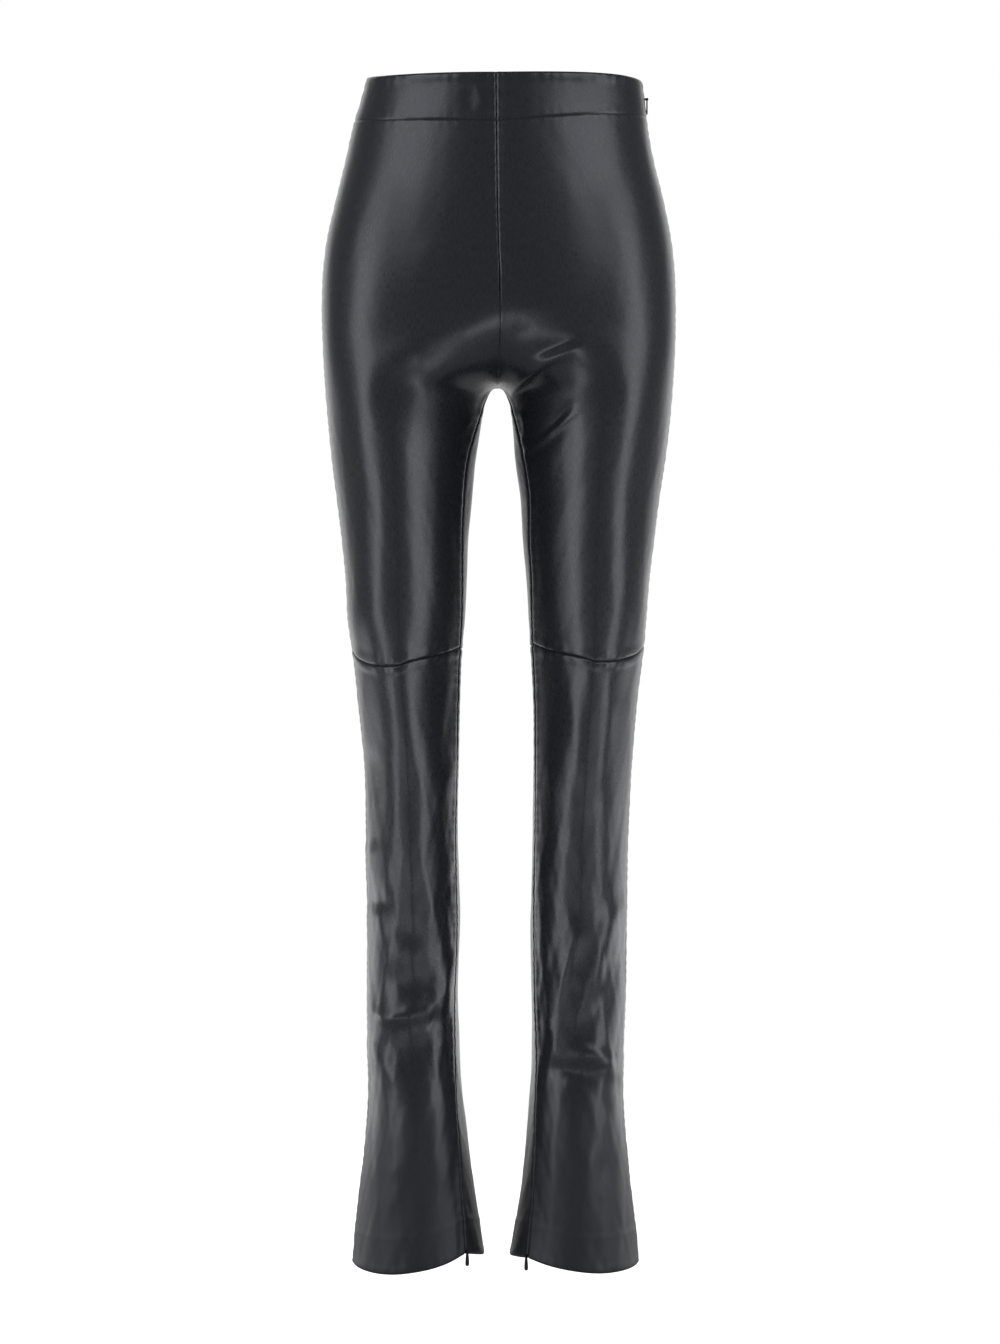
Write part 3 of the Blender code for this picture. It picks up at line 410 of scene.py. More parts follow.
# Zips: the leg, the seam, and the levels of the ends of the tape
ZIPS = {
    "hip_zip": ("left", "side", -24.0, -190.0),
    "right_ankle_zip": ("right", "inseam", ANKLE_ZIP_TOP, -1077.0),
    "left_ankle_zip": ("left", "inseam", ANKLE_ZIP_TOP, -1081.0),
}
TAPE_COLUMNS = 9
TAPE_CLEARANCE = 0.6
TAPE_THICKNESS = 0.8
LEAST_ROW_GAP = 0.1  # rows of a tape that would be nearer than this are left out
COIL_PITCH = 1.2
COIL_HALF_WIDTH = 1.1
COIL_RADIUS = 0.32
COIL_SIDES = 6
COIL_STANDOFF = 0.8  # from the tape to the coil's middle, as a share of its radius

# Looks of the cloth
SHARP_DEGREES = 60
NOISE_SPAN = (0.3, 0.7)  # most of the noise lies between these
MATT_ROUGHER = 0.22  # what the dullness near the hem adds to the roughness

# The studio, in metres
FLOOR_Z = -1.17
FLOOR_RADIUS = 2.2
BACKDROP_SPAN = (0.64, 0.88)  # of the direction's Y, from the dim surroundings to the white behind
BACKDROP_STRENGTH = (0.24, 1.3)
# Softboxes on the left: place, what it faces, size, brightness and roll. The right has the same.
SOFTBOXES = {
    "strip": ((2.3, -0.8, -0.5), (0, 0, -0.5), (0.9, 2.5), 2.9, 0),
    "top": ((2.1, -1.5, 1.4), (0, 0, -0.1), (2.2, 1.1), 2.5, 15),
    "low": ((1.1, -1.4, FLOOR_Z + 0.02), (1.1, -1.4, 0), (1.9, 0.7), 2.4, 0),
    "back": ((1.25, 0.75, -0.98), (0, 0, -0.98), (0.9, 0.42), 1.8, 0),
}
CAMERA_PLACE = (0.0014, -5.0, -0.5506)
CAMERA_LENS = 144.0


def smoothstep(value):
    value = np.clip(value, 0.0, 1.0)
    return value * value * (3.0 - 2.0 * value)


def through(rows, columns, name, at):
    """A smooth curve through one column of a table, read at the places given."""
    places = np.array([row[0] for row in rows], float)
    values = np.array([row[columns.index(name)] for row in rows], float)
    if places[0] > places[-1]:
        places, values = places[::-1], values[::-1]
    at = np.clip(np.asarray(at, float), places[0], places[-1])
    slopes = np.gradient(values, places)
    low = np.clip(np.searchsorted(places, at) - 1, 0, len(places) - 2)
    span = places[low + 1] - places[low]
    part = (at - places[low]) / span
    rise = values[low + 1] - values[low]
    start = slopes[low] * span
    end = slopes[low + 1] * span
    return values[low] + part * (
        start + part * (3 * rise - 2 * start - end + part * (start + end - 2 * rise))
    )


def section(name, z):
    return through(SECTIONS, SECTION_COLUMNS, name, z)


def arch_fill(leg, angle, z):
    """How far the inner thigh reaches in to meet the other leg, at the small arch under the crotch."""
    below = np.clip((CROTCH_Z - z) / ARCH_HEIGHT, 0.0, 1.0)
    closing = 1.0 - np.sqrt(1.0 - (1.0 - below) ** 2)
    facing_in = np.clip(-np.cos(angle), 0.0, 1.0) ** ARCH_FOCUS
    return (CROTCH_X - section(leg + "_inner", z)) * closing * facing_in


def rise_curve(down):
    return 1.0 - (1.0 - down**RISE_POWER) ** (1.0 / RISE_POWER)


def near_centre(hip_share):
    """1 at the centre seams, fading out towards the hips."""
    return np.clip((hip_share - NEAR_CENTRE) / (1.0 - NEAR_CENTRE), 0.0, 1.0)


def slanted(hip_share, slant):
    """0 at the hips and 1 at the centre, with a slant between."""
    beginning, length = slant
    return smoothstep((hip_share - beginning) / length)


def leg_share(leg, face, hip_share, z):
    """0 on the hips and 1 on the legs: the U of the rise at the centre, a slanting groin beside it."""
    top = RISE_TURN_Z[face]
    down = np.clip((top - z) / (top - CROTCH_Z), 0.0, 1.0)
    hip_start, rise_start, hip_end, rise_end = GROIN[leg + "_" + face]
    start = hip_start + (rise_start - hip_start) * slanted(hip_share, GROIN_START_SLANT)
    end = hip_end + (rise_end - hip_end) * slanted(hip_share, GROIN_END_SLANT)
    groin = smoothstep((start - z) / (start - end))
    return groin + near_centre(hip_share) ** RISE_FOCUS * (rise_curve(down) - groin)


def hip_power(z):
    """How full the hip sections are."""
    at_waist, at_hips, at_crotch = HIP_SQUARENESS
    down = (SQUARING_START_Z - z) / (SQUARING_START_Z - CROTCH_Z)
    upper = at_waist + (at_hips - at_waist) * smoothstep(z / WAIST_END_Z)
    return upper + (at_crotch - at_hips) * smoothstep(down)


def base_point(leg, face, across, z):
    """A point of the smooth garment, across a panel from its side seam (0) to its inner edge (1)."""
    across, z = np.broadcast_arrays(np.asarray(across, float), np.asarray(z, float))
    crowding = 1.0 + smoothstep((CROWDING_START_Z - z) / (CROWDING_START_Z - CROTCH_Z))
    hip_share = 1.0 - (1.0 - across) ** crowding
    hip_angle = hip_share * math.pi / 2
    width_share = np.cos(hip_angle) ** hip_power(z)
    depth_share = np.sin(hip_angle) ** hip_power(z)
    outer = section(leg + "_outer", z)
    side = section("side", z)
    depth = section(face, z)
    centre = through(CENTRES, CENTRE_COLUMNS, face, z)
    hip_x = centre + (outer - centre) * width_share
    hip_y = side + (depth - side) * depth_share

    inner = section(leg + "_inner", z)
    crest = (outer + inner) / 2 + LEGS[leg] * through(CRESTS, CREST_COLUMNS, "outward", z)
    to_inseam = np.radians(through(INSEAMS, INSEAM_COLUMNS, "degrees", z))
    if face == "back":
        to_inseam = 2 * math.pi - to_inseam
    at_crotch = np.arccos(np.clip(2 * width_share - 1, -1, 1)) * to_inseam / math.pi
    angle = at_crotch + (across * to_inseam - at_crotch) * smoothstep(
        (CROTCH_Z - z) / EVEN_BELOW_CROTCH
    )
    other = section("front" if face == "back" else "back", z)
    reach = np.where(np.sin(angle) >= 0, depth, other) - side
    outside = np.cos(angle) >= 0
    power = np.where(
        outside,
        through(CRESTS, CREST_COLUMNS, "outer_power", z),
        through(CRESTS, CREST_COLUMNS, "inner_power", z),
    )
    edge = np.where(outside, outer, inner)
    leg_x = crest + (edge - crest) * np.abs(np.cos(angle)) ** power + arch_fill(leg, angle, z)
    leg_y = side + reach * np.abs(np.sin(angle)) ** power

    to_leg = leg_share(leg, face, hip_share, z)
    x = hip_x + (leg_x - hip_x) * to_leg
    y = hip_y + (leg_y - hip_y) * to_leg
    return np.stack([x, y, z], axis=-1)


def fold_path(points):
    """A fold's line with more points, on a smooth curve through those given."""
    points = np.array(points, float)
    steps = np.linspace(0, len(points) - 1, (len(points) - 1) * FOLD_STEPS + 1)
    rows = [(i, x, z) for i, (x, z) in enumerate(points)]
    return np.stack([through(rows, ("i", "x", "z"), name, steps) for name in ("x", "z")], axis=-1)


def beside_path(path, seen):
    """Distance of each point seen from the path, + on its left, and its share of the way along."""
    nearest = np.full(seen.shape[:-1], np.inf)
    along = np.zeros(nearest.shape)
    for i, (start, end) in enumerate(zip(path, path[1:])):
        run = end - start
        part = np.clip(((seen - start) @ run) / (run @ run), 0.0, 1.0)
        offset = seen - start - part[..., None] * run
        away = np.linalg.norm(offset, axis=-1)
        side = np.sign(run[0] * offset[..., 1] - run[1] * offset[..., 0])
        closer = away < np.abs(nearest)
        nearest = np.where(closer, away * np.where(side == 0, 1, side), nearest)
        along = np.where(closer, (i + part) / (len(path) - 1), along)
    return nearest, along


def large_folds(leg, face, across, points):
    """The solids' own folds."""
    total = np.zeros(points.shape[:-1])
    for height, width, line in FOLDS[leg, face]:
        away, along = beside_path(fold_path(line), points[..., [0, 2]])
        fade = smoothstep(np.minimum(along, 1.0 - along) / FOLD_FADE)
        ends = fade * (1.0 - FOLD_END_HEIGHT) + FOLD_END_HEIGHT
        total += height * ends * np.exp(-((away / width) ** 2))
    return total * smoothstep(np.minimum(across, 1.0 - across) / FOLD_EDGE)


def fine_folds(leg, face, points, from_edge):
    """The folds too fine for the solids."""
    total = np.zeros(points.shape[:-1])
    for height, left_width, right_width, line in FINE_FOLDS[leg, face]:
        away, along = beside_path(fold_path(line), points[..., [0, 2]])
        ends = smoothstep(np.minimum(along, 1.0 - along) / FINE_FOLD_FADE)
        width = np.where(away > 0, left_width, right_width)
        total += height * ends * np.exp(-((np.abs(away) / width) ** FINE_FOLD_POWER))
    return total * smoothstep(from_edge / FINE_FOLD_EDGE)


def waves(part, leg, face, from_side, z):
    """Low waves, different on every panel."""
    start = WAVE_STARTS[part] + LEGS[leg] * WAVE_LEG_START + FACES[face] * WAVE_FACE_START
    drift_size, drift_length = WAVE_DRIFT
    total = np.zeros(z.shape)
    for i, (height, across, down) in enumerate(WAVES):
        drift = drift_size * np.sin(z / (down * drift_length) + start * (i + 2))
        total += height * np.sin(from_side * 2 * math.pi / across + drift + start * (i + 1)) * np.sin(
            z * 2 * math.pi / down + start * (i + 3) + np.sin(from_side / across)
        )
    below_knee, length = SHIN_WAVES_REACH
    slack = SHIN_WAVES * smoothstep((KNEE_Z - below_knee - z) / length)
    slack = slack + smoothstep((CROTCH_Z - z) / THIGH_WAVES_REACH) * THIGH_WAVES
    return total * (HIP_WAVES + slack)


def eased(points, across):
    """The thigh's points, with the bend at the crotch's level made soft away from its inner edge."""
    near = smoothstep((CROTCH_EASE - np.abs(points[..., 2] - CROTCH_Z)) / (CROTCH_EASE / 2))
    near = near * smoothstep((1.0 - across) * PANEL_WIDTH / EASE_EDGE)
    soft = points.copy()
    for _ in range(EASE_PASSES):
        mean = (soft[:-2] + 2 * soft[1:-1] + soft[2:]) / 4
        soft[1:-1] += (mean - soft[1:-1]) * near[1:-1, :, None]
    return soft


def line_shift(table, leg, face, across):
    return through(table, LINE_COLUMNS, leg + "_" + face, across)


def crowded_steps(length):
    """Distances from 0 to length: the edge's own steps at both ends, and even ones between."""
    start = np.array(EDGE_DISTANCES, float)
    count = max(2, round((length - 2 * start[-1]) / FACE_SPACING))
    middle = np.linspace(start[-1], length - start[-1], count + 1)
    return np.concatenate([start[:-1], middle, (length - start[:-1])[::-1]])


def panel_columns():
    return crowded_steps(PANEL_WIDTH) / PANEL_WIDTH


def straight_rows(top, bottom, across):
    drops = crowded_steps(top - bottom)
    return np.broadcast_to((top - drops)[:, None], (len(drops), len(across)))


def thigh_rows(across):
    """Rows from the waistband to the knee. At the centre they follow the U of the rise."""
    turn = RISE_TURN_Z["front"]
    above = crowded_steps(BAND_Z - turn)[: -len(EDGE_DISTANCES)]
    share = np.arange(RISE_ROWS) / RISE_ROWS
    curved = (1.0 - (1.0 - share) ** RISE_POWER) ** (1.0 / RISE_POWER)
    centre = near_centre(across)[None, :] ** 2
    down = share[:, None] + (curved - share)[:, None] * centre
    rise = turn - down * (turn - CROTCH_Z)
    steps = (np.arange(LEG_ROWS) / LEG_ROWS) ** LEG_ROW_CROWDING
    drops = steps * (CROTCH_Z - KNEE_Z - EDGE_DISTANCES[-1])
    end = (CROTCH_Z - KNEE_Z) - np.array(EDGE_DISTANCES[::-1])
    below = CROTCH_Z - np.concatenate([drops, end])
    return np.concatenate([
        np.broadcast_to((BAND_Z - above)[:, None], (len(above), len(across))),
        rise,
        np.broadcast_to(below[:, None], (len(below), len(across))),
    ])


def rows_and_lines(part, across):
    """A panel's rows, and the seam lines at its top and bottom."""
    if part == "waistband":
        return straight_rows(0.0, BAND_Z, across), WAIST_EDGE, BAND_LINE
    if part == "thigh":
        return thigh_rows(across), BAND_LINE, KNEE_LINE
    return straight_rows(KNEE_Z, HEM_Z, across), KNEE_LINE, HEM_LINE


def bent_rows(rows, top, bottom, leg, face, across):
    """The rows, bent at the top and bottom to the seam lines there."""
    reach = min(LINE_REACH, float(rows[0, 0] - rows[-1, 0]))
    near_top = np.clip(1.0 - (rows[:1] - rows) / reach, 0.0, 1.0)
    near_bottom = np.clip(1.0 - (rows - rows[-1:]) / reach, 0.0, 1.0)
    return (
        rows
        + near_top * line_shift(top, leg, face, across)
        + near_bottom * line_shift(bottom, leg, face, across)
    )


def grid_normals(points, leg, face):
    crossed = np.cross(np.gradient(points, axis=0), np.gradient(points, axis=1))
    crossed *= LEGS[leg] * FACES[face]
    return crossed / np.linalg.norm(crossed, axis=-1, keepdims=True)


def distances(points, axis):
    """How far each point is along its row (axis 1) or column (axis 0), and the whole length."""
    steps = np.linalg.norm(np.diff(points, axis=axis), axis=-1)
    start = np.zeros_like(np.take(steps, [0], axis=axis))
    along = np.cumsum(np.concatenate([start, steps], axis=axis), axis=axis)
    return along, np.take(along, [-1], axis=axis)


def grid_area(points):
    crossed = np.cross(points[1:, 1:] - points[:-1, :-1], points[1:, :-1] - points[:-1, 1:])
    return np.linalg.norm(crossed, axis=-1).sum() / 2


def puckers(along, lengths):
    short, slow = lengths
    return PUCKER_HEIGHT * np.sin(along / short + 2 * np.sin(along / slow))


def edge_shape(away, pucker):
    """Cloth beside a seam: it rolls in at the edge and stands proud over the seam allowance."""
    at_seam, at_edge = ALLOWANCE_FADES
    roll = -SEAM_DEPTH * np.exp(-((away / SEAM_ROLL) ** SEAM_ROLL_POWER))
    allowance = ALLOWANCE_RISE * smoothstep(away / at_seam)
    allowance = allowance * smoothstep((ALLOWANCE_WIDTH - away) / at_edge)
    puckered = pucker * np.exp(-((away / PUCKER_REACH) ** 2)) * smoothstep(away / PUCKER_FADE)
    return roll + allowance + puckered


def meeting_normals(normals, z, from_inner):
    """The normals beside the rise's seam turned straight to the front or back, so that its sides meet."""
    above_crotch = smoothstep((z - CROTCH_Z) / MEETING_FADE + 1.0)
    near = np.exp(-((from_inner / MEETING_REACH) ** 2)) * above_crotch
    turned = normals * np.stack([1.0 - near, np.ones_like(near), np.ones_like(near)], axis=-1)
    return turned / np.linalg.norm(turned, axis=-1, keepdims=True)


# Painted shade along a seam, strongest at the seam itself
def seam_shade_at(away):
    return np.exp(-((away / SEAM_SHADE_WIDTH) ** 2))


def crotch_painted_shade(points):
    """Painted shade where the four inner seams meet, standing in for the shadow of the drawn-up cloth."""
    width, height, strength = CROTCH_PAINTED_SHADE
    across = (points[..., 0] - CROTCH_X) / width
    down = (points[..., 2] - CROTCH_Z) / height
    return strength * np.exp(-((across**2 + down**2) ** 1.5))


def make_sheet(part, leg, face):
    """One panel: its smooth and its finished outer points, and what the other pieces need of it."""
    across = panel_columns()
    rows, top, bottom = rows_and_lines(part, across)
    z = bent_rows(rows, top, bottom, leg, face, across)
    across = np.broadcast_to(across, z.shape)
    points = base_point(leg, face, across, z)
    if part == "thigh":
        points = eased(points, across)
    normals = grid_normals(points, leg, face)
    cut = (distances(points, 1)[1].max(), distances(points, 0)[1].max(), grid_area(points))
    from_side, width = distances(points, 1)
    from_top, height = distances(points, 0)
    from_edge = np.minimum(
        np.minimum(from_side, width - from_side), np.minimum(from_top, height - from_top)
    )
    height_out = large_folds(leg, face, across, points) + fine_folds(leg, face, points, from_edge)
    height_out += waves(part, leg, face, from_side, z) * smoothstep(from_edge / FINE_FOLD_EDGE)
    points = points + normals * height_out[..., None]
    normals = grid_normals(points, leg, face)
    pucker = puckers(points[..., 2], UPRIGHT_PUCKERS)
    pucker_row = puckers(points[..., 0], LEVEL_PUCKERS)
    from_inner, from_bottom = width - from_side, height - from_top
    normals = meeting_normals(normals, z, from_inner)
    shape = edge_shape(from_side, pucker) + edge_shape(from_inner, pucker)
    top_strength = BAND_SEAM if part == "thigh" else 1.0
    bottom_strength = BAND_SEAM if part == "waistband" else 1.0
    shape += edge_shape(from_top, pucker_row) * top_strength
    shape += edge_shape(from_bottom, pucker_row) * bottom_strength
    # Painted shade: dark lines along the seams and a dark spot at the crotch, kept as an attribute
    painted_shades = [seam_shade_at(from_side), seam_shade_at(from_inner), crotch_painted_shade(points)]
    if part != "waistband":
        painted_shades.append(seam_shade_at(from_top) * top_strength)
    if part != "shin":
        painted_shades.append(seam_shade_at(from_bottom) * bottom_strength)
    else:
        ridge_height, rise, ridge_width = HEM_RIDGE
        above = from_bottom - ridge_height
        shape += rise * np.exp(-((above / ridge_width) ** 2)) + rise / 2 * smoothstep(-above / HEM_STEP)
    lip = np.exp(-(((from_inner - LIP_PLACE) / LIP_WIDTH) ** 2))
    if face == "front" and part == "shin":
        shape += LIP_HEIGHT * lip * smoothstep((ANKLE_ZIP_TOP - z) / LIP_FADE)
    elif face == "front" and leg == "left":
        shape += LIP_HEIGHT * lip * smoothstep((z - CROTCH_Z - LIP_FADE) / LIP_FADE)
    return {
        "points": points,
        "normals": normals,
        "outer": points + normals * shape[..., None],
        "inner": points - normals * wall_at(part, z)[..., None],
        "from_side": from_side,
        "from_top": from_top,
        "painted_shade": np.max(painted_shades, axis=0),
        "cut": cut,
        "z": z,
    }


def wall_at(part, z):
    """Thickness of the cloth: double in the waistband and the turned-up hem."""
    if part == "waistband":
        return np.full(z.shape, BAND_WALL)
    doubled = np.clip((HEM_Z + HEM_TURN_UP - z) / HEM_STEP + 0.5, 0.0, 1.0)
    return WALL + (HEM_WALL - WALL) * doubled


def face_outward(mesh):
    bm = bmesh.new()
    bm.from_mesh(mesh)
    bmesh.ops.recalc_face_normals(bm, faces=list(bm.faces))
    if bm.calc_volume(signed=True) < 0:
        bmesh.ops.reverse_faces(bm, faces=list(bm.faces))
    bm.to_mesh(mesh)
    bm.free()
    mesh.shade_smooth()


def wall_mesh(name, outer, inner, flat, painted_shade=None, lined=None):
    """A closed wall of quads between two grids of points, with UVs in metres of cloth.

    The grid of painted shade, if given, lowers the gloss along the seams and at the crotch, and lined
    says where the inner side shows the cloth's back."""
    rows, columns = outer.shape[:2]
    index = np.arange(rows * columns).reshape(rows, columns)
    quads = np.stack([index[:-1, :-1], index[1:, :-1], index[1:, 1:], index[:-1, 1:]], axis=-1)
    quads = quads.reshape(-1, 4)
    ring = np.concatenate([
        index[0, :-1], index[:-1, -1], index[-1, :0:-1], index[:0:-1, 0]
    ])
    beyond = np.roll(ring, -1)
    count = rows * columns
    rim = np.stack([ring, beyond, beyond + count, ring + count], axis=-1)
    faces = np.concatenate([quads, quads[:, ::-1] + count, rim])
    points = np.concatenate([outer.reshape(-1, 3), inner.reshape(-1, 3)]) * MM
    mesh = bpy.data.meshes.new(name)
    mesh.from_pydata(points.tolist(), [], faces.tolist())
    mesh.update()
    flat = np.concatenate([flat.reshape(-1, 2)] * 2) * MM
    uv = mesh.uv_layers.new(name="cloth")
    corners = np.empty(len(mesh.loops), np.int32)
    mesh.loops.foreach_get("vertex_index", corners)
    uv.data.foreach_set("uv", flat[corners].astype(np.float32).ravel())
    matt = mesh.attributes.new("matt", "FLOAT", "POINT")
    dull = smoothstep((MATT_Z - points[:, 2] / MM) / MATT_REACH)
    matt.data.foreach_set("value", dull.astype(np.float32))
    if painted_shade is not None:
        seam = mesh.attributes.new("painted_shade", "FLOAT", "POINT")
        values = np.concatenate([painted_shade.ravel(), np.zeros(count)])
        seam.data.foreach_set("value", values.astype(np.float32))
    if lined is not None:
        back = np.zeros(len(faces), np.int32)
        back[len(quads):2 * len(quads)] = lined[:-1, :-1].ravel()
        mesh.polygons.foreach_set("material_index", back)
    face_outward(mesh)
    mesh.set_sharp_from_angle(angle=math.radians(SHARP_DEGREES))
    return mesh


def new_material(name):
    """A material, its node tree and its shader's sockets."""
    made = bpy.data.materials.new(name)
    made.use_nodes = True
    return made, made.node_tree, made.node_tree.nodes["Principled BSDF"].inputs


def add_node(tree, kind, **numbers):
    """A new node with numbers set on its sockets, where _ in a name stands for a space."""
    node = tree.nodes.new(kind)
    for name, number in numbers.items():
        node.inputs[name.replace("_", " ")].default_value = number
    return node


def cloth_uv(tree):
    uv = add_node(tree, "ShaderNodeUVMap")
    uv.uv_map = "cloth"
    return uv.outputs["UV"]


def attribute(tree, name):
    found = add_node(tree, "ShaderNodeAttribute")
    found.attribute_name = name
    return found.outputs["Fac"]


def add_noise(tree, place, scale, detail):
    noise = add_node(tree, "ShaderNodeTexNoise", Scale=scale, Detail=detail)
    tree.links.new(place, noise.inputs["Vector"])
    return noise.outputs["Fac"]


def cloth_noise(tree, uv, scale, detail):
    """Noise on the cloth, with a scale of its own across and along."""
    stretch = add_node(tree, "ShaderNodeMapping", Scale=scale)
    tree.links.new(uv, stretch.inputs["Vector"])
    return add_noise(tree, stretch.outputs["Vector"], 1.0, detail)


def cloth_ribs(tree, direction, scale, distortion):
    """Ribs on the cloth that follow one another in a direction."""
    ribs = add_node(tree, "ShaderNodeTexWave", Scale=scale, Distortion=distortion)
    ribs.bands_direction = direction
    tree.links.new(cloth_uv(tree), ribs.inputs["Vector"])
    return ribs.outputs["Fac"]


def mapped(tree, value, span, ends, socket):
    """Leads a value to a socket, which goes from one end to the other as the value crosses its span."""
    numbers = {"From_Min": span[0], "From_Max": span[1], "To_Min": ends[0], "To_Max": ends[1]}
    spread = add_node(tree, "ShaderNodeMapRange", **numbers)
    tree.links.new(value, spread.inputs["Value"])
    tree.links.new(spread.outputs["Result"], socket)
    return spread


def tinted(tree, value, span, dark, light, socket):
    """Leads a colour to a socket, which goes from dark to light as the value crosses its span."""
    tint = add_node(tree, "ShaderNodeValToRGB")
    for element, position, colour in zip(tint.color_ramp.elements, span, (dark, light)):
        element.position = position
        element.color = (*colour, 1)
    tree.links.new(value, tint.inputs["Fac"])
    tree.links.new(tint.outputs["Color"], socket)


def bumped(tree, value, distance, strength, socket):
    """Leads relief to a normal's socket, and gives the one for the relief beneath it."""
    bump = add_node(tree, "ShaderNodeBump", Distance=distance, Strength=strength)
    tree.links.new(value, bump.inputs["Height"])
    tree.links.new(bump.outputs["Normal"], socket)
    return bump.inputs["Normal"]


def coated_cloth():
    """Black coated cloth: glossy, with fine upright streaks and a pebbled grain."""
    made, tree, shader = new_material("coated_cloth")
    uv = cloth_uv(tree)
    streaks = cloth_noise(tree, uv, (950, 170, 1), 3.0)
    grain = cloth_noise(tree, uv, (1100, 900, 1), 2.0)
    dark, light = (0.0085, 0.0092, 0.0115), (0.015, 0.016, 0.019)
    tinted(tree, streaks, NOISE_SPAN, dark, light, shader["Base Color"])
    rougher = add_node(tree, "ShaderNodeMath")
    rougher.operation = "MULTIPLY_ADD"
    rougher.inputs[1].default_value = MATT_ROUGHER
    tree.links.new(attribute(tree, "matt"), rougher.inputs[0])
    mapped(tree, streaks, NOISE_SPAN, (0.25, 0.35), rougher.inputs[2])
    tree.links.new(rougher.outputs["Value"], shader["Roughness"])
    shader["Specular Tint"].default_value = (0.88, 0.9, 1.0, 1)
    # Painted shade: the gloss fades out along the seams and at the crotch, in place of their shadow
    mapped(tree, attribute(tree, "painted_shade"), (0.0, 1.0), (0.54, 0.03), shader["Specular IOR Level"])
    beneath = bumped(tree, grain, 0.00006, 0.4, shader["Normal"])
    bumped(tree, streaks, 0.0001, 0.3, beneath)
    return made


def cloth_back():
    """The knitted back of the cloth."""
    made, tree, shader = new_material("cloth_back")
    shader["Roughness"].default_value = 0.9
    ribs = cloth_ribs(tree, "X", 260.0, 1.5)
    dark, light = (0.012, 0.012, 0.013), (0.03, 0.03, 0.032)
    tinted(tree, ribs, (0.0, 1.0), dark, light, shader["Base Color"])
    bumped(tree, ribs, 0.0002, 0.5, shader["Normal"])
    return made


def zip_metal():
    """Black enamelled metal with fine wear."""
    made, tree, shader = new_material("zip_metal")
    shader["Specular IOR Level"].default_value = 0.2
    place = add_node(tree, "ShaderNodeTexCoord").outputs["Object"]
    wear = add_noise(tree, place, 900.0, 3.0)
    dark, light = (0.015, 0.015, 0.016), (0.03, 0.03, 0.032)
    tinted(tree, wear, (0.35, 0.7), dark, light, shader["Base Color"])
    mapped(tree, wear, (0.0, 1.0), (0.3, 0.5), shader["Roughness"])
    return made


def zip_tape():
    """Woven tape, ribbed across."""
    made, tree, shader = new_material("zip_tape")
    shader["Roughness"].default_value = 0.85
    weave = cloth_ribs(tree, "Y", 320.0, 1.0)
    dark, light = (0.008, 0.008, 0.009), (0.022, 0.022, 0.024)
    tinted(tree, weave, (0.0, 1.0), dark, light, shader["Base Color"])
    bumped(tree, weave, 0.0002, 1.0, shader["Normal"])
    return made


def add_piece(name, mesh, materials):
    """A new piece that rides with the garment."""
    for material in materials:
        mesh.materials.append(material)
    obj = bpy.data.objects.new(name, mesh)
    bpy.context.scene.collection.objects.link(obj)
    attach(obj, "garment")
    return obj


def make_panels(cloth, back):
    sheets = {}
    for leg in LEGS:
        for face in FACES:
            for part in PARTS:
                sheet = make_sheet(part, leg, face)
                sheets[(part, leg, face)] = sheet
                node = f"{part}_{face}_{leg}"
                flat = np.stack([sheet["from_side"], -sheet["from_top"]], axis=-1)
                lined = np.full(sheet["z"].shape, part != "waistband")
                if part == "shin":
                    lined = sheet["z"] > HEM_Z + HEM_TURN_UP
                mesh = wall_mesh(
                    node + "_cloth", sheet["outer"], sheet["inner"], flat, sheet["painted_shade"], lined
                )
                obj = add_piece(node + "_cloth", mesh, (cloth, back))
                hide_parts(node)
    return sheets


def strip_columns(front, back, rows, seam):
    """Columns of two panels on either side of the seam between them, front to back."""
    if seam == "side":
        return [front[rows, TAPE_COLUMNS::-1], back[rows, 1 : TAPE_COLUMNS + 1]]
    return [front[rows, -TAPE_COLUMNS - 1 :], back[rows, -2 : -TAPE_COLUMNS - 2 : -1]]


def seam_strip(sheets, leg, seam, upper, lower):
    """Rows of points and normals across a seam, front to back, between two levels."""
    points, normals, depths = [], [], []
    for part in PARTS:
        front, back = sheets[(part, leg, "front")], sheets[(part, leg, "back")]
        edge = front["z"][:, 0 if seam == "side" else -1]
        rows = np.flatnonzero((edge < upper) & (edge > lower))
        if len(rows) == 0:
            continue
        for name, found in (("points", points), ("normals", normals)):
            strip = strip_columns(front[name], back[name], rows, seam)
            found.append(np.concatenate(strip, axis=1))
        wall = np.full(len(rows), BAND_WALL) if seam == "side" else wall_at(part, edge[rows])
        depths.append(wall + TAPE_CLEARANCE)
    points, normals = np.concatenate(points), np.concatenate(normals)
    keep = np.concatenate([[True], np.diff(points[:, TAPE_COLUMNS, 2]) < -LEAST_ROW_GAP])
    return points[keep], normals[keep], np.concatenate(depths)[keep][:, None, None]


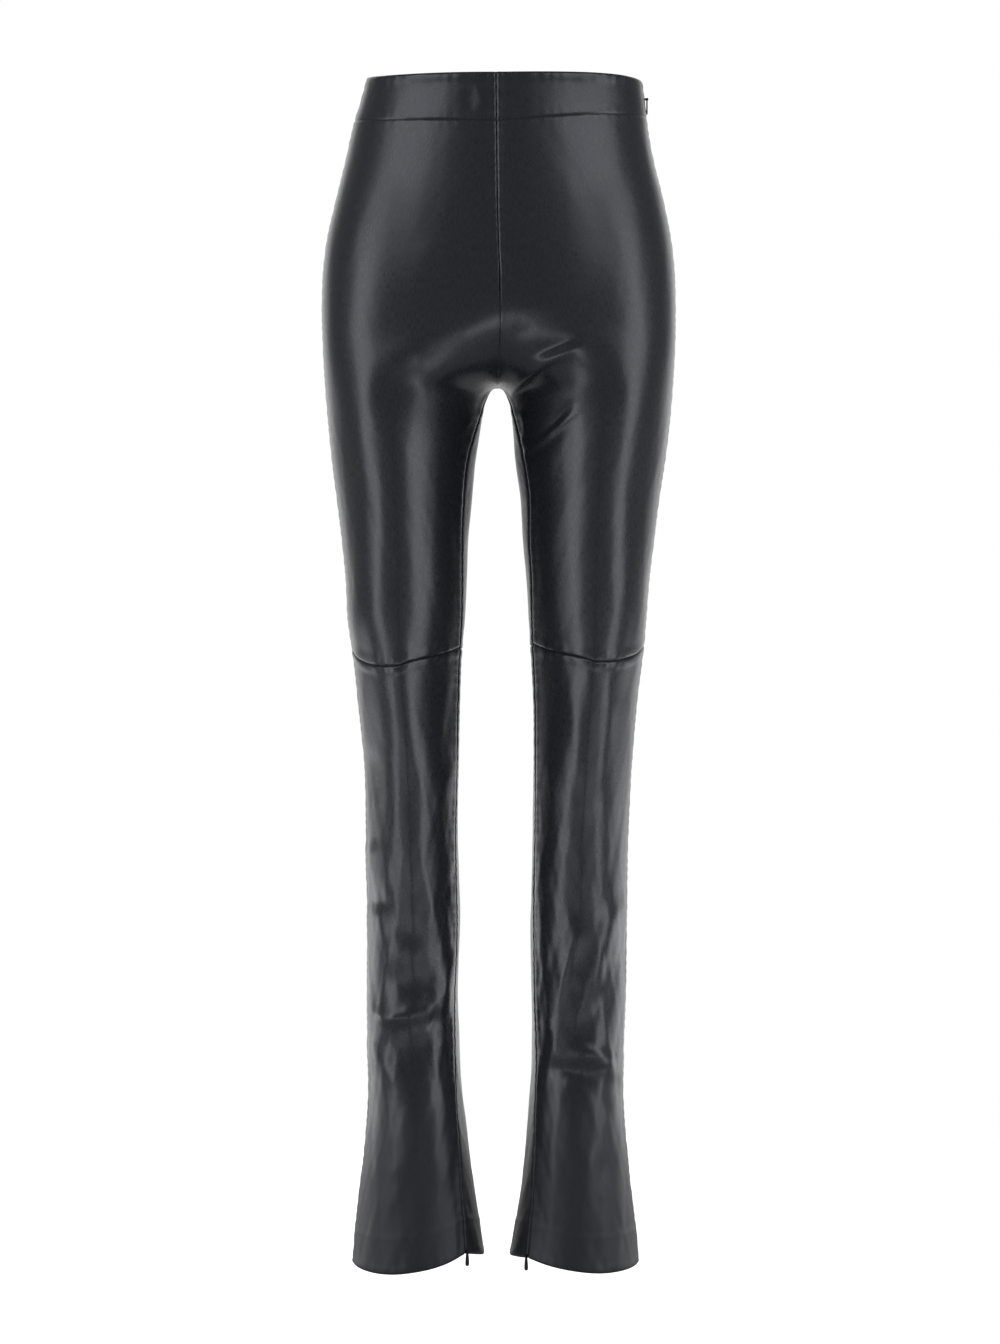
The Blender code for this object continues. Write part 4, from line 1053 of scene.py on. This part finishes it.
def coil_mesh(name, middle, across, out):
    """The zip's coil: a tube that runs to and fro across the tape's middle."""
    run = np.concatenate([[0.0], np.cumsum(np.linalg.norm(np.diff(middle, axis=0), axis=-1))])
    turns = int(run[-1] / COIL_PITCH) * 2
    at = np.linspace(0.0, run[-1], turns)
    centre, width, rise = (
        np.stack([np.interp(at, run, rows[:, i]) for i in range(3)], axis=-1)
        for rows in (middle, across, out)
    )
    sway = np.where(np.arange(turns) % 2 == 0, 1.0, -1.0)[:, None] * COIL_HALF_WIDTH
    path = centre + width * sway
    along = np.gradient(path, axis=0)
    along /= np.linalg.norm(along, axis=-1, keepdims=True)
    side = np.cross(along, rise)
    side /= np.linalg.norm(side, axis=-1, keepdims=True)
    up = np.cross(side, along)
    angles = np.arange(COIL_SIDES) * 2 * math.pi / COIL_SIDES
    rings = path[:, None] + COIL_RADIUS * (
        np.cos(angles)[:, None] * side[:, None] + np.sin(angles)[:, None] * up[:, None]
    )
    index = np.arange(turns * COIL_SIDES).reshape(turns, COIL_SIDES)
    onward = np.roll(index, -1, axis=1)
    faces = np.stack([index[:-1], onward[:-1], onward[1:], index[1:]], axis=-1).reshape(-1, 4)
    ends = [index[0].tolist(), index[-1, ::-1].tolist()]
    mesh = bpy.data.meshes.new(name)
    mesh.from_pydata((rings.reshape(-1, 3) * MM).tolist(), [], faces.tolist() + ends)
    face_outward(mesh)
    return mesh


def make_zip(name, leg, seam, upper, lower, sheets, tape, metal):
    """The tape behind a seam, with its coil. The slider and pull are the solids' own."""
    points, normals, depths = seam_strip(sheets, leg, seam, upper, lower)
    outer = points - normals * depths
    inner = outer - normals * TAPE_THICKNESS
    across, width = distances(outer, 1)
    down, length = distances(outer, 0)
    flat = np.stack([across, -down], axis=-1)
    woven = wall_mesh(name + "_tape_woven", outer, inner, flat)
    strip = add_piece(name + "_tape_woven", woven, (tape,))
    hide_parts(name + "_tape")
    middle = inner[:, TAPE_COLUMNS] - normals[:, TAPE_COLUMNS] * COIL_RADIUS * COIL_STANDOFF
    sideways = inner[:, TAPE_COLUMNS + 1] - inner[:, TAPE_COLUMNS - 1]
    sideways /= np.linalg.norm(sideways, axis=-1, keepdims=True)
    coil = coil_mesh(name + "_coil", middle, sideways, normals[:, TAPE_COLUMNS])
    add_piece(name + "_coil", coil, (metal,))


def area_light(name, place, target, size, radiance, roll):
    """A softbox: radiance is how bright its face looks."""
    light = bpy.data.lights.new(name, "AREA")
    light.shape = "RECTANGLE"
    light.size, light.size_y = size
    light.energy = radiance * math.pi * size[0] * size[1]
    obj = bpy.data.objects.new(name, light)
    obj.location = place
    facing = (Vector(target) - Vector(place)).to_track_quat("-Z", "Y").to_matrix()
    obj.rotation_euler = (facing @ Matrix.Rotation(math.radians(roll), 3, "Z")).to_euler()
    obj.visible_camera = False
    bpy.context.scene.collection.objects.link(obj)


def make_world():
    """White behind the garment, dim elsewhere, and plain white where the camera sees past it."""
    world = bpy.data.worlds.new("studio")
    bpy.context.scene.world = world
    world.use_nodes = True
    tree = world.node_tree
    background = tree.nodes["Background"].inputs
    background["Color"].default_value = (1, 1, 1, 1)
    coordinates = add_node(tree, "ShaderNodeTexCoord")
    split = add_node(tree, "ShaderNodeSeparateXYZ")
    seen = add_node(tree, "ShaderNodeLightPath")
    mix = add_node(tree, "ShaderNodeMix", B=1.0)
    tree.links.new(coordinates.outputs["Generated"], split.inputs["Vector"])
    backdrop = mapped(tree, split.outputs["Y"], BACKDROP_SPAN, BACKDROP_STRENGTH, mix.inputs["A"])
    backdrop.interpolation_type = "SMOOTHSTEP"
    tree.links.new(seen.outputs["Is Camera Ray"], mix.inputs["Factor"])
    tree.links.new(mix.outputs["Result"], background["Strength"])


def make_stage():
    bpy.ops.mesh.primitive_circle_add(
        radius=FLOOR_RADIUS, vertices=96, fill_type="NGON", location=(0, 0, FLOOR_Z)
    )
    floor = bpy.context.object
    floor.name = "floor"
    made, tree, shader = new_material("pale_floor")
    shader["Base Color"].default_value = (0.5, 0.5, 0.5, 1)
    shader["Roughness"].default_value = 0.9
    shader["Emission Color"].default_value = (1, 1, 1, 1)
    seen = add_node(tree, "ShaderNodeLightPath")
    tree.links.new(seen.outputs["Is Camera Ray"], shader["Emission Strength"])
    floor.data.materials.append(made)


def make_lights():
    for leg, side in LEGS.items():
        for name, (place, target, size, radiance, roll) in SOFTBOXES.items():
            place = (side * place[0], *place[1:])
            target = (side * target[0], *target[1:])
            area_light(f"{name}_{leg}", place, target, size, radiance, side * roll)


def make_camera():
    data = bpy.data.cameras.new("camera")
    data.lens = CAMERA_LENS
    data.clip_end = 50.0
    camera = bpy.data.objects.new("camera", data)
    camera.location = CAMERA_PLACE
    camera.rotation_euler = (math.pi / 2, 0, 0)
    bpy.context.scene.collection.objects.link(camera)
    bpy.context.scene.camera = camera


def main():
    for old in list(bpy.data.objects):
        bpy.data.objects.remove(old, do_unlink=True)
    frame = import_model()
    sheets = make_panels(coated_cloth(), cloth_back())
    metal, tape = zip_metal(), zip_tape()
    for name, (leg, seam, upper, lower) in ZIPS.items():
        make_zip(name, leg, seam, upper, lower, sheets, tape, metal)
    for name, node in frame["nodes"].items():
        if name.endswith(("_slider", "_pull")):
            node.data.materials.clear()
            node.data.materials.append(metal)
    make_stage()
    make_lights()
    make_world()
    make_camera()
    bpy.context.scene.view_settings.view_transform = "Standard"


main()
